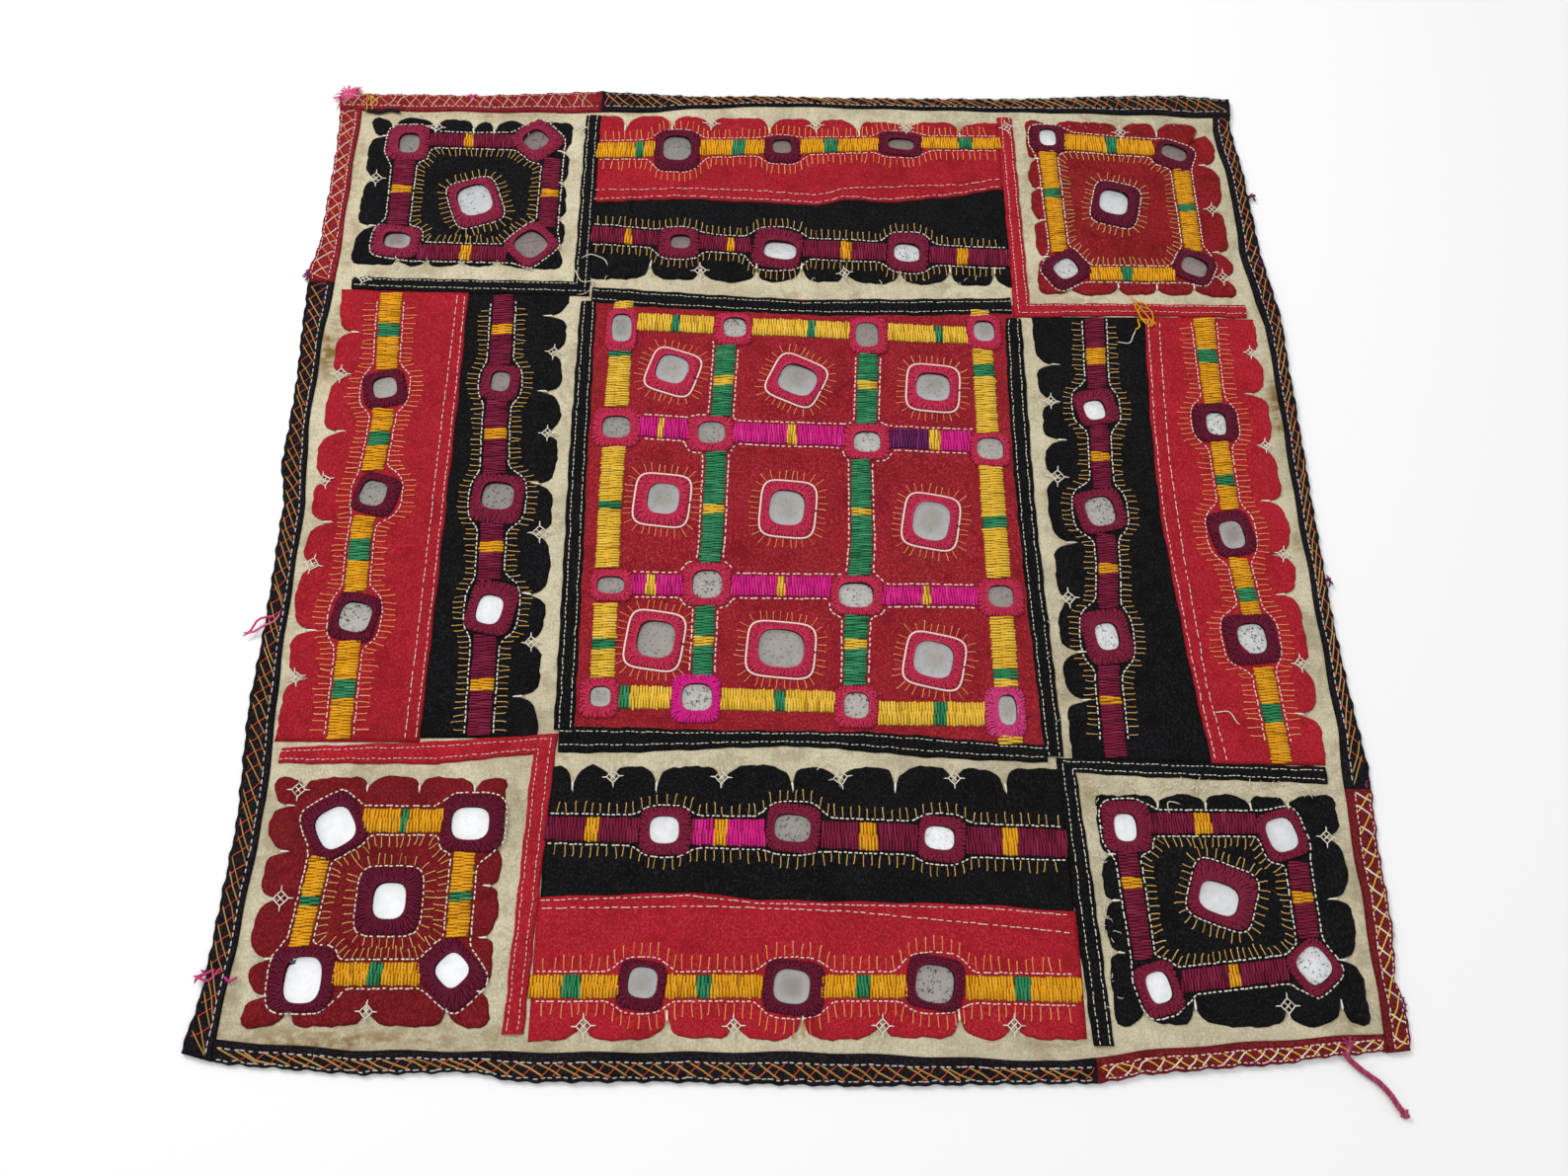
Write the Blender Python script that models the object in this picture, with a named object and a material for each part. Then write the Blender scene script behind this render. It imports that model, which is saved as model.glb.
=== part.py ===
# A mirror-work hanging of the Banjara kind, lying face up on its back.
# A cream cotton ground carries a centre panel in a black frame, a red and a black strip on each
# side, and four corner blocks inside L shaped borders. Raised rings of thread hold small mirrors,
# and a pieced binding in two colours runs round the edge.
# The tables are in millimetres: x to the right and y up from the middle of the centre panel.
# The whole hanging is moved at the end, so that its outline is centred on the origin.

import math
from collections import namedtuple

import bmesh
import bpy
from mathutils import Vector

MM = 0.001
JOIN_GAP = 0.3  # between two pieces that are sewn together
GROUND_THICK = 1.0  # cream ground cloth
CLOTH_LOW = GROUND_THICK + JOIN_GAP  # applied cloth lies on the ground
CLOTH_HIGH = CLOTH_LOW + 1.0
BINDING_THICK = 2.4  # folded strip, several layers of cloth
RING_FOOT = CLOTH_LOW + 0.5  # a thread ring grows out of the cloth under it
RING_HIGH = 3.8
MIRROR_LOW = CLOTH_HIGH + JOIN_GAP
MIRROR_HIGH = MIRROR_LOW + 0.8
ROUND_SIDES = 12  # sides of a mirror and of its ring
MIRROR_NODES = 28  # the largest mirrors are pieces of their own
CUT_HALF_WIDTHS = (1.2, 3.4)  # a slit opens from its root to these half widths
CUT_SHARES = (0.55, 0.14)  # share of the slit's depth left at those half widths
CUT_UNEVEN = 0.16  # slits differ by up to this share of their depth

# Binding edges, one table for each side: (along the side, distance from the middle).
OUTER_EDGE = {
    "top": ((-258, 252), (-180, 253), (-112, 258), (-60, 256), (50, 258), (130, 260), (170, 262),
            (220, 265), (248, 263)),
    "right": ((-250, 259), (-232, 260), (-222, 257), (-200, 260), (-165, 260), (-130, 262),
              (-90, 259), (-50, 257), (20, 257), (60, 257), (120, 257), (138, 254), (160, 252),
              (205, 250), (240, 247), (263, 248)),
    "bottom": ((-260, 250), (-240, 255), (-185, 259), (-140, 258), (-120, 262), (-60, 262),
               (20, 264), (125, 263), (140, 260), (180, 257), (200, 256), (220, 253), (259, 250)),
    "left": ((-250, 260), (-225, 255), (-200, 254), (-155, 252), (-105, 255), (-60, 253.5),
             (0, 254), (20, 258), (60, 257), (100, 259), (135, 260), (150, 257), (210, 256),
             (252, 258)),
}
INNER_EDGE = {
    "top": ((-245, 240), (-220, 240), (-130, 242), (-80, 244), (-60, 247), (0, 250), (150, 250),
            (237, 249)),
    "right": ((-243, 248), (-150, 248), (-110, 250), (-60, 249), (0, 248), (80, 248), (110, 247.6),
              (125, 244), (158, 240), (190, 241), (212, 239), (240, 236), (249, 237)),
    "bottom": ((-246, 245), (-190, 249), (-100, 250), (0, 250), (80, 253), (110, 254), (140, 250),
               (180, 247), (248, 243)),
    "left": ((-245, 246), (-205, 243), (-145, 240), (-118, 241), (-80, 243), (0, 243), (40, 247),
             (100, 247), (125, 245), (240, 245)),
}

# Binding strips. outer and inner give where the strip starts and ends on each edge; a strip that
# fills a corner also has a corner point and says at which end it is.
BINDINGS = (
    dict(name="binding_top_red", side="top", colour="binding_red", outer=(-258, -112.2),
         inner=(-245, -112.2), corner=(-257.3, 240), corner_at="start"),
    dict(name="binding_top_black", side="top", colour="binding_black", outer=(-111.8, 248),
         inner=(-111.8, 237), corner=(247.2, 249), corner_at="end"),
    dict(name="binding_right_black", side="right", colour="binding_black", outer=(248.7, -137.8),
         inner=(248.7, -137.8), corner=None, corner_at=None),
    dict(name="binding_right_red", side="right", colour="binding_red", outer=(-138.2, -250),
         inner=(-138.2, -243), corner=(-251, 248), corner_at="end"),
    dict(name="binding_bottom_red", side="bottom", colour="binding_red", outer=(247.7, 122.2),
         inner=(247.7, 122.2), corner=None, corner_at=None),
    dict(name="binding_bottom_black", side="bottom", colour="binding_black", outer=(121.8, -245.7),
         inner=(121.8, -245.7), corner=None, corner_at=None),
    dict(name="binding_left_black", side="left", colour="binding_black", outer=(125.8, -250),
         inner=(125.8, -245), corner=(-253.5, 246), corner_at="end"),
    dict(name="binding_left_red", side="left", colour="binding_red", outer=(239.7, 126.2),
         inner=(239.7, 126.2), corner=None, corner_at=None),
)

# Black frame round the centre panel, laid out as the binding is.
FRAME_OUTER = {
    "top": ((-110, 127), (-60, 124), (0, 121), (50, 122), (112, 125)),
    "right": ((-124, 121), (0, 117), (112, 117)),
    "bottom": ((-112, 120), (0, 119.5), (60, 121), (112, 125)),
    "left": ((-113, 117.5), (118, 117.5)),
}
FRAME_INNER = {
    "top": ((-110, 118), (-60, 115.5), (0, 114), (60, 115), (112, 116)),
    "right": ((-124, 112.3), (0, 107), (112, 109)),
    "bottom": ((-112, 113), (0, 113), (80, 117), (112, 120)),
    "left": ((-113, 109), (118, 109)),
}
FRAMES = (
    dict(name="frame_top", side="top", span=(-110.7, 111.6)),
    dict(name="frame_right", side="right", span=(111.6, -123.5)),
    dict(name="frame_bottom", side="bottom", span=(111.6, -112.5)),
    dict(name="frame_left", side="left", span=(-112.6, 117.4)),
)

# The seam where each side's red strip is laid over its black strip.
SEAMS = {
    "top": ((-113, 180), (-70, 183), (10, 181), (25, 186), (45, 184), (80, 188), (112, 195)),
    "bottom": ((-118, 187), (-50, 185), (-20, 188), (40, 189), (80, 190), (118, 193)),
    "left": ((-118, 175), (60, 174), (121, 175)),
    "right": ((-127, 188), (-80, 183), (-50, 181), (0, 178), (50, 179), (112, 182)),
}
# Side strips: one edge is the seam, the other has slits between lobes whose crest is given.
STRIPS = (
    dict(name="strip_top_black", side="top", colour="black_cloth", span=(-111.7, 111.7),
         crest=131, cuts=(-81, -54, -24, 0, 23, 53, 80, 104)),
    dict(name="strip_top_red", side="top", colour="red_cloth", span=(-111.7, 111.7),
         crest=242, cuts=(-98, -72, -50, -17.5, 8.5, 33, 60, 90)),
    dict(name="strip_bottom_black", side="bottom", colour="black_cloth", span=(-113.1, 115.4),
         crest=128, cuts=(-105, -87, -67, -38, -6, 16, 41, 68, 91)),
    dict(name="strip_bottom_red", side="bottom", colour="red_cloth", span=(-116.1, 117.4),
         crest=246, cuts=(-94, -59, -31, -2, 32, 65, 88)),
    dict(name="strip_left_black", side="left", colour="black_cloth", span=(-114.3, 120.6),
         crest=122, cuts=(-97, -71, -47, -15, 11, 39, 63, 86, 108)),
    dict(name="strip_left_red", side="left", colour="red_cloth", span=(-118, 120.6),
         crest=241, cuts=(-89, -66, -33, -11, 11, 38, 71, 96)),
    dict(name="strip_right_black", side="right", colour="black_cloth", span=(-123.8, 112),
         crest=122, cuts=(-97, -73, -46, -17, 19, 40, 62, 84)),
    dict(name="strip_right_red", side="right", colour="red_cloth", span=(-125.5, 112),
         crest=243, cuts=(-103, -78, -43, -22, 7, 38, 68, 93)),
)
STRIP_CUT_DEPTH = 10

# Corner blocks: the rectangle of the cloth, with the slits of each of its sides.
BLOCKS = (
    dict(name="block_top_left", colour="black_cloth", left=-239, right=-127, low=137, high=236,
         cuts={"top": (-226, -203, -182, -170.5, -151.5), "right": (151, 170, 193, 214),
               "bottom": (-215, -199, -181, -162), "left": (161.5, 192, 222)}),
    dict(name="block_top_right", colour="deep_red_cloth", left=127, right=236, low=127, high=245,
         cuts={"top": (144, 182, 203), "right": (139, 155.5, 184, 214.5),
               "bottom": (144.5, 170.5, 191.5, 211.5), "left": (151, 175, 196.5, 217)}),
    dict(name="block_bottom_left", colour="deep_red_cloth", left=-238, right=-133, low=-241,
         high=-134,
         cuts={"top": (-226, -195.5, -172.5, -147), "right": (-226, -204, -182.5, -164),
               "bottom": (-217.5, -185, -152), "left": (-233, -213, -188, -168, -147)}),
    dict(name="block_bottom_right", colour="black_cloth", left=131, right=244, low=-241, high=-140,
         cuts={"top": (160.5, 182.5, 203, 220.5), "right": (-213, -187, -160),
               "bottom": (146, 167, 207, 234.5), "left": (-210, -188, -168)}),
)
BLOCK_CUT_DEPTH = {"outward": 9, "inward": 5}
BLOCK_CORNER = 4

# L shaped borders, named for their corner, with the points of their outline.
BORDERS = (
    dict(name="border_top_left", colour="black_cloth",
         outline=((-112, 238), (-120.5, 238), (-121, 130), (-235, 130), (-235, 122), (-112, 121))),
    dict(name="border_top_right", colour="red_cloth",
         outline=((112, 243), (121, 243), (122, 121.5), (237, 122.5), (237, 114.5), (150, 114),
                  (113, 112.5))),
    dict(name="border_bottom_left", colour="red_cloth",
         outline=((-113, -114.2), (-160, -118), (-235, -121.5), (-236, -129), (-165, -129),
                  (-123.5, -124), (-128, -241), (-119, -241), (-116.5, -187), (-113.5, -125))),
    dict(name="border_bottom_right", colour="black_cloth",
         outline=((115.8, -124), (240, -127.5), (240, -135.5), (200, -135.5), (160, -133),
                  (124.5, -131), (130.5, -246), (121.5, -246), (118, -190))),
)

# Mirrors: the cloth each is sewn to, its middle, its size and tilt, and how far its ring reaches.
Mirror = namedtuple("Mirror", "cloth x y width height tilt left right low high")
MIRRORS = (
    Mirror("centre_panel", -94, 101, 11, 17, 0, -102, -86, 87, 113),
    Mirror("centre_panel", -35, 102.5, 12.6, 12, 0, -46, -26, 92, 111),
    Mirror("centre_panel", 34, 99, 12.5, 15, 0, 25, 45, 88, 110),
    Mirror("centre_panel", 96, 103, 11.5, 12.7, 0, 87, 105, 92, 113),
    Mirror("centre_panel", -94, 43, 14.6, 12.6, 0, -106, -82, 32, 54),
    Mirror("centre_panel", -46, 40.5, 14, 12.7, 0, -58, -35, 30, 50),
    Mirror("centre_panel", 32.5, 36.7, 14, 11.8, 0, 21, 44, 27, 47),
    Mirror("centre_panel", 95, 33.7, 13.8, 12.6, 0, 85, 105, 24, 43),
    Mirror("centre_panel", -92.5, -42, 13.4, 9, 0, -102, -82, -50, -34),
    Mirror("centre_panel", -46.5, -41, 14.6, 14.6, 0, -58, -35, -52, -30),
    Mirror("centre_panel", 25, -46, 17, 13, 0, 13, 38, -56, -36),
    Mirror("centre_panel", 95, -46, 12.7, 11.5, 0, 84, 106, -56, -37),
    Mirror("centre_panel", -94.6, -97, 10, 10, 0, -104, -86, -107, -88),
    Mirror("centre_panel", -50, -97, 14.6, 13.4, 0, -62, -39, -109, -86),
    Mirror("centre_panel", 24, -100.5, 12.3, 12.7, 0, 14, 34, -111, -91),
    Mirror("centre_panel", 94.6, -102, 9, 14.6, 0, 84, 103, -115, -91),
    Mirror("centre_panel", -67, 77, 16.5, 16.5, -18, -80, -53, 62, 89),
    Mirror("centre_panel", -2.5, 71.5, 19.7, 17.5, -25, -18, 12, 57, 86),
    Mirror("centre_panel", 67.5, 69, 18, 16.6, -5, 54, 81, 55, 82),
    Mirror("centre_panel", -69, 3.5, 16, 17, -5, -83, -56, -11, 17),
    Mirror("centre_panel", -8, -0.5, 18, 19, -5, -21, 6, -16, 14),
    Mirror("centre_panel", 63, -7, 18.5, 21, -10, 49, 77, -22, 8),
    Mirror("centre_panel", -70, -69, 18, 18.5, -8, -84, -57, -84, -55),
    Mirror("centre_panel", -11, -73, 22, 19, -5, -27, 5, -87, -60),
    Mirror("centre_panel", 61, -78, 19, 17.7, -12, 47, 76, -92, -65),
    Mirror("strip_top_red", -68.6, 217, 16, 17.5, 0, -81, -56, 202, 230),
    Mirror("strip_top_red", -10.4, 220, 11, 10, 0, -21, 0, 209, 228),
    Mirror("strip_top_red", 56.4, 224, 15, 8, 0, 43, 69, 216, 233),
    Mirror("strip_top_black", -65, 155, 11, 9, 0, -77, -55, 145, 164),
    Mirror("strip_top_black", -11.5, 151, 18, 12, 0, -27, 1, 139, 165),
    Mirror("strip_top_black", 57, 151, 14, 12, 0, 46, 69, 139, 164),
    Mirror("strip_bottom_black", -63, -158, 13.6, 12.5, 0, -74, -51, -169, -148),
    Mirror("strip_bottom_black", -6, -157, 16.7, 12.5, 0, -18, 7, -168, -146),
    Mirror("strip_bottom_black", 60, -161, 14, 11, 0, 50, 72, -172, -151),
    Mirror("strip_bottom_red", -70, -222.5, 13, 13, 0, -81, -60, -234, -213),
    Mirror("strip_bottom_red", -6.5, -224, 16, 14, 0, -19, 8, -237, -213),
    Mirror("strip_bottom_red", 55, -223, 17, 15.6, 0, 42, 69, -235, -210),
    Mirror("strip_left_red", -211.5, 63, 11, 13, 0, -223, -200, 50, 74),
    Mirror("strip_left_red", -210, 4, 13, 14, 0, -220, -197, -8, 15),
    Mirror("strip_left_red", -211, -59.5, 15, 15, 0, -223, -200, -72, -47),
    Mirror("strip_left_black", -154, 68, 10, 12, 0, -164, -144, 57, 78),
    Mirror("strip_left_black", -150, 4, 16, 15, 0, -163, -137, -11, 16),
    Mirror("strip_left_black", -149, -55, 12, 15, 0, -160, -136, -68, -40),
    Mirror("strip_right_black", 150.5, 57, 11.4, 11.7, 0, 140, 163, 48, 70),
    Mirror("strip_right_black", 148, 0, 15, 16, 0, 135, 161, -12, 13),
    Mirror("strip_right_black", 145, -65.5, 11, 14, 0, 133, 157, -80, -51),
    Mirror("strip_right_red", 213, 50, 11, 13.6, 0, 201, 224, 40, 62),
    Mirror("strip_right_red", 212.6, -12, 12, 15, 0, 201, 224, -24, 2),
    Mirror("strip_right_red", 215, -66, 14.5, 15.6, 0, 201, 228, -79, -53),
    Mirror("block_top_left", -216, 216.5, 11.7, 14, 0, -228, -205, 205, 229),
    Mirror("block_top_left", -147, 221, 13, 13, 45, -160, -132, 207, 235),
    Mirror("block_top_left", -215.6, 152.5, 15, 10, 0, -230, -202, 142, 162),
    Mirror("block_top_left", -144.7, 152, 16.4, 16.4, 45, -159, -130, 139, 165),
    Mirror("block_top_left", -177, 179.6, 18.4, 20, 20, -191, -162, 162, 195),
    Mirror("block_top_right", 140, 231, 10, 12, 0, 130, 150, 221, 240),
    Mirror("block_top_right", 211, 222, 13.7, 10, 0, 199, 223, 210, 231),
    Mirror("block_top_right", 213, 145, 12.5, 12, 0, 201, 225, 133, 156),
    Mirror("block_top_right", 143, 143, 13, 12, 0, 129, 157, 130, 155),
    Mirror("block_top_right", 173.5, 188, 15, 19, 0, 161, 188, 170, 202),
    Mirror("block_bottom_left", -207.4, -157.7, 17, 18, 30, -222, -194, -172, -142),
    Mirror("block_bottom_left", -148.7, -155.6, 17, 15, 0, -161, -134, -168, -143),
    Mirror("block_bottom_left", -151, -217.5, 14, 17, 0, -164, -138, -235, -203),
    Mirror("block_bottom_left", -213, -221.4, 16, 19, 0, -227, -200, -234, -208),
    Mirror("block_bottom_left", -180.4, -188.8, 14.5, 16, 0, -194, -167, -203, -175),
    Mirror("block_bottom_right", 144.5, -156, 11, 13, 0, 134, 156, -167, -144),
    Mirror("block_bottom_right", 216, -159, 14.5, 15.5, 15, 203, 229, -172, -147),
    Mirror("block_bottom_right", 222, -215.6, 14.5, 15, 0, 208, 234, -229, -203),
    Mirror("block_bottom_right", 152, -224, 11, 14, 0, 141, 163, -238, -212),
    Mirror("block_bottom_right", 183, -187, 18, 14, -20, 169, 201, -200, -171),
)

# Worn ends of the corner ties: a tuft of threads at one corner and a twisted tail at another.
TUFT = dict(x=-253, y=248, strands=12, reach=11, foot=4.5, width=1.1, first=70, last=230)
TAIL = dict(radius=1.5, route=((230.5, -253.65), (236, -258.3), (242, -262.5), (246, -267),
                               (249, -272.5), (252.5, -277)))

COLOURS = {
    # name: (red, green, blue, roughness, metallic)
    "cream_cotton": (0.60, 0.53, 0.36, 0.9, 0.0),
    "centre_cloth": (0.30, 0.012, 0.02, 0.85, 0.0),
    "red_cloth": (0.43, 0.014, 0.026, 0.85, 0.0),
    "deep_red_cloth": (0.27, 0.009, 0.014, 0.85, 0.0),
    "black_cloth": (0.008, 0.009, 0.010, 0.85, 0.0),
    "binding_red": (0.36, 0.02, 0.03, 0.85, 0.0),
    "binding_black": (0.010, 0.010, 0.012, 0.85, 0.0),
    "pink_yarn": (0.45, 0.04, 0.22, 0.9, 0.0),
    "mirror_glass": (0.85, 0.86, 0.88, 0.08, 1.0),
}


def across_at(edge, along):
    """An edge's distance from the middle at one place, on straight lines between its knots."""
    knots = sorted(edge)
    for (low, first), (high, second) in zip(knots, knots[1:]):
        if low <= along <= high:
            return first + (second - first) * (along - low) / (high - low)
    return knots[0][1] if along < knots[0][0] else knots[-1][1]


def run_along(edge, start, end, shift=0.0):
    """The edge's points from start to end, moved across by shift."""
    low, high = min(start, end), max(start, end)
    knots = [along for along, _ in sorted(edge) if low < along < high]
    points = [(along, across_at(edge, along) + shift) for along in [low, *knots, high]]
    return points if start < end else points[::-1]


def slit_run(start, end, crest, cuts, depth):
    """An edge of lobes at crest, with a narrow slit at each cut, a little deeper or shallower
    than depth in turn, because each slit is cut by hand."""
    points = [(start, crest)]
    widths = [(-half, share) for half, share in zip(CUT_HALF_WIDTHS, CUT_SHARES)][::-1]
    widths += [(0, 1)] + [(half, share) for half, share in zip(CUT_HALF_WIDTHS, CUT_SHARES)]
    for index, cut in enumerate(sorted(cuts)):
        uneven = depth * (1 + CUT_UNEVEN * math.sin(2.4 * index + 0.7))
        points += [(cut + across, crest + uneven * share) for across, share in widths]
        following = [other for other in sorted(cuts) if other > cut]
        if following:
            points.append(((cut + following[0]) / 2, crest))
    points.append((end, crest))
    return points


def on_side(side, points):
    """Points (along, across) of one side of the hanging, as (x, y)."""
    if side == "top":
        return [(along, across) for along, across in points]
    if side == "bottom":
        return [(along, -across) for along, across in points]
    if side == "left":
        return [(-across, along) for along, across in points]
    return [(across, along) for along, across in points]


def oval(x, y, half_width, half_height, tilt=0.0, power=2.4):
    """A squarish oval: |cos| and |sin| raised to 2 / power, turned by tilt in degrees."""
    points = []
    for step in range(ROUND_SIDES):
        angle = math.tau * (step + 0.5) / ROUND_SIDES
        across = math.copysign(abs(math.cos(angle)) ** (2 / power), math.cos(angle)) * half_width
        along = math.copysign(abs(math.sin(angle)) ** (2 / power), math.sin(angle)) * half_height
        turn = math.radians(tilt)
        points.append((x + across * math.cos(turn) - along * math.sin(turn),
                       y + across * math.sin(turn) + along * math.cos(turn)))
    return points


def material(name):
    if name not in bpy.data.materials:
        red, green, blue, roughness, metallic = COLOURS[name]
        made = bpy.data.materials.new(name)
        made.use_nodes = True
        shader = made.node_tree.nodes["Principled BSDF"]
        shader.inputs["Base Color"].default_value = (red, green, blue, 1)
        shader.inputs["Roughness"].default_value = roughness
        shader.inputs["Metallic"].default_value = metallic
    return bpy.data.materials[name]


def clear_scene():
    for obj in list(bpy.data.objects):
        bpy.data.objects.remove(obj, do_unlink=True)


def new_collection(name):
    made = bpy.data.collections.new(name)
    bpy.context.scene.collection.children.link(made)
    return made


def add_object(name, data, collection, parent, colour=None):
    made = bpy.data.objects.new(name, data)
    collection.objects.link(made)
    made.parent = parent
    if colour:
        made.data.materials.append(material(colour))
    return made


def mesh_of(curve_object):
    """The closed mesh of a curve: its caps welded, and each flat face made one polygon."""
    graph = bpy.context.evaluated_depsgraph_get()
    made = bpy.data.meshes.new_from_object(curve_object.evaluated_get(graph))
    work = bmesh.new()
    work.from_mesh(made)
    bmesh.ops.remove_doubles(work, verts=work.verts, dist=0.00001)
    bmesh.ops.dissolve_limit(work, angle_limit=0.0005, verts=work.verts, edges=work.edges)
    bmesh.ops.recalc_face_normals(work, faces=work.faces)
    work.to_mesh(made)
    work.free()
    return made


def flat_shape(name, outlines, low, high, collection, parent, colour=None):
    """Flat outlines filled and raised from low to high; an outline inside another is a hole."""
    curve = bpy.data.curves.new(name, "CURVE")
    curve.dimensions = "2D"
    curve.fill_mode = "BOTH"
    curve.extrude = (high - low) / 2 * MM
    for outline in outlines:
        spline = curve.splines.new("POLY")
        spline.points.add(len(outline) - 1)
        for point, (x, y) in zip(spline.points, outline):
            point.co = (x * MM, y * MM, 0, 1)
        spline.use_cyclic_u = True
    guide = add_object(name + "_outline", curve, collection, parent)
    bpy.context.view_layer.update()
    made = add_object(name, mesh_of(guide), collection, parent, colour)
    made.location.z = (low + high) / 2 * MM
    bpy.data.objects.remove(guide, do_unlink=True)
    return made


def band_outline(side, outer, inner, outer_span, inner_span, corner=None, corner_at=None):
    """A band between two edges of one side, with an extra point where it fills a corner."""
    points = run_along(outer, *outer_span)
    if corner and corner_at == "end":
        points.append(corner)
    points += run_along(inner, inner_span[1], inner_span[0])
    if corner and corner_at == "start":
        points.append(corner)
    return on_side(side, points)


def ground_outline():
    """The ground fills the binding, a sewing gap inside its inner edge."""
    points = on_side("top", run_along(INNER_EDGE["top"], -244.7, 236.6, -JOIN_GAP))
    points += on_side("right", run_along(INNER_EDGE["right"], 248.2, -242.2, -JOIN_GAP))
    points += on_side("bottom", run_along(INNER_EDGE["bottom"], 247.2, -245.2, -JOIN_GAP))
    points += on_side("left", run_along(INNER_EDGE["left"], -244.2, 239.2, -JOIN_GAP))
    return points


def centre_outline():
    """The centre panel fills the frame, a sewing gap inside it."""
    points = on_side("top", run_along(FRAME_INNER["top"], -108.7, 108.2, -JOIN_GAP))
    points += on_side("right", run_along(FRAME_INNER["right"], 114.5, -118.5, -JOIN_GAP))
    points += on_side("bottom", run_along(FRAME_INNER["bottom"], 111, -108.2, -JOIN_GAP))
    points += on_side("left", run_along(FRAME_INNER["left"], -112.2, 117.2, -JOIN_GAP))
    return points


def strip_outline(strip):
    """A side strip: its seam, and the lobed edge, inward on black and outward on red."""
    red = strip["colour"] == "red_cloth"
    start, end = strip["span"]
    seam = run_along(SEAMS[strip["side"]], start, end, JOIN_GAP / 2 if red else -JOIN_GAP / 2)
    depth = -STRIP_CUT_DEPTH if red else STRIP_CUT_DEPTH
    lobes = slit_run(start, end, strip["crest"], strip["cuts"], depth)
    return on_side(strip["side"], seam + lobes[::-1])


def block_outline(block):
    """A corner block: four slit edges joined across its cut off corners."""
    left, right, low, high = (block[key] for key in ("left", "right", "low", "high"))
    spans = {
        "top": (left, right, high),
        "right": (low, high, right),
        "bottom": (left, right, -low),
        "left": (low, high, -left),
    }
    outline = []
    for side, (start, end, crest) in spans.items():
        outward = crest > 200
        depth = BLOCK_CUT_DEPTH["outward" if outward else "inward"]
        edge = slit_run(start + BLOCK_CORNER, end - BLOCK_CORNER, crest, block["cuts"][side], -depth)
        outline += on_side(side, edge if side in ("top", "left") else edge[::-1])
    return outline


def mirror_names():
    """A name for each mirror: its cloth and its number on that cloth."""
    counts = {}
    names = []
    for mirror in MIRRORS:
        counts[mirror.cloth] = counts.get(mirror.cloth, 0) + 1
        names.append(f"mirror_{mirror.cloth}_{counts[mirror.cloth]}")
    return names


def is_own_piece(mirror):
    """The largest mirrors are pieces of their own; the rest are part of their raised seats."""
    by_size = sorted(MIRRORS, key=lambda each: each.width * each.height, reverse=True)
    return mirror in by_size[:MIRROR_NODES]


def add_mirror_work(cloth, collection, cutters, parent):
    """Raises the thread rings of one cloth out of it and lays its larger mirrors in them."""
    rings, seats = [], []
    for name, mirror in zip(mirror_names(), MIRRORS):
        if mirror.cloth != cloth.name:
            continue
        half_wide, half_high = (mirror.right - mirror.left) / 2, (mirror.high - mirror.low) / 2
        middle = ((mirror.left + mirror.right) / 2, (mirror.low + mirror.high) / 2)
        outside = oval(*middle, half_wide, half_high)
        if not is_own_piece(mirror):
            seats.append(outside)
            continue
        place = (mirror.x, mirror.y, mirror.width / 2, mirror.height / 2)
        wider = (mirror.x, mirror.y, mirror.width / 2 + JOIN_GAP, mirror.height / 2 + JOIN_GAP)
        rings += [outside, oval(*wider, mirror.tilt)]
        flat_shape(name, [oval(*place, mirror.tilt)], MIRROR_LOW, MIRROR_HIGH, collection, parent,
                   "mirror_glass")
    for kind, outlines, high in (("rings", rings, RING_HIGH), ("seats", seats, MIRROR_HIGH)):
        if not outlines:
            continue
        raised = flat_shape(f"{cloth.name}_{kind}", outlines, RING_FOOT, high, cutters, parent)
        raised.hide_render = True
        raised.display_type = "WIRE"
        union = cloth.modifiers.new(kind, "BOOLEAN")
        union.operation = "UNION"
        union.solver = "EXACT"
        union.object = raised


def tuft_mesh():
    """Strands that fan out of one low knot: each is a thin wedge from the knot to its tip."""
    work = bmesh.new()
    count = TUFT["strands"]
    for index in range(count):
        share = index / (count - 1)
        angle = math.radians(TUFT["first"] + (TUFT["last"] - TUFT["first"]) * share)
        reach = TUFT["reach"] * (1 - 0.28 * (index % 3))
        made = bmesh.ops.create_cone(work, cap_ends=True, segments=4, depth=reach * MM,
                                     radius1=TUFT["width"] * MM, radius2=TUFT["width"] * 0.35 * MM)
        heading = Vector((math.cos(angle), math.sin(angle), -0.1)).normalized()
        turn = Vector((0, 0, 1)).rotation_difference(heading)
        middle = Vector((TUFT["x"] * MM, TUFT["y"] * MM, (BINDING_THICK + 1.9) * MM))
        for vert in made["verts"]:
            vert.co = turn @ vert.co + middle + heading * (reach / 2 + 2) * MM
    return work


def add_tuft(collection, cutters, parent):
    """A low round knot on the corner of the binding, with its strands joined to it."""
    work = bmesh.new()
    bmesh.ops.create_uvsphere(work, u_segments=12, v_segments=6, radius=TUFT["foot"] * MM)
    for vert in work.verts:
        vert.co = Vector((vert.co.x, vert.co.y, vert.co.z * 0.35))
        vert.co += Vector((TUFT["x"], TUFT["y"], BINDING_THICK + 1.9)) * MM
    knot = bpy.data.meshes.new("corner_tuft")
    work.to_mesh(knot)
    work.free()
    tuft = add_object("corner_tuft", knot, collection, parent, "pink_yarn")
    fan = tuft_mesh()
    strands = bpy.data.meshes.new("corner_tuft_strands")
    fan.to_mesh(strands)
    fan.free()
    cutter = add_object("corner_tuft_strands", strands, cutters, parent)
    cutter.hide_render = True
    cutter.display_type = "WIRE"
    union = tuft.modifiers.new("strands", "BOOLEAN")
    union.operation = "UNION"
    union.solver = "EXACT"
    union.use_self = True
    union.object = cutter


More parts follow.
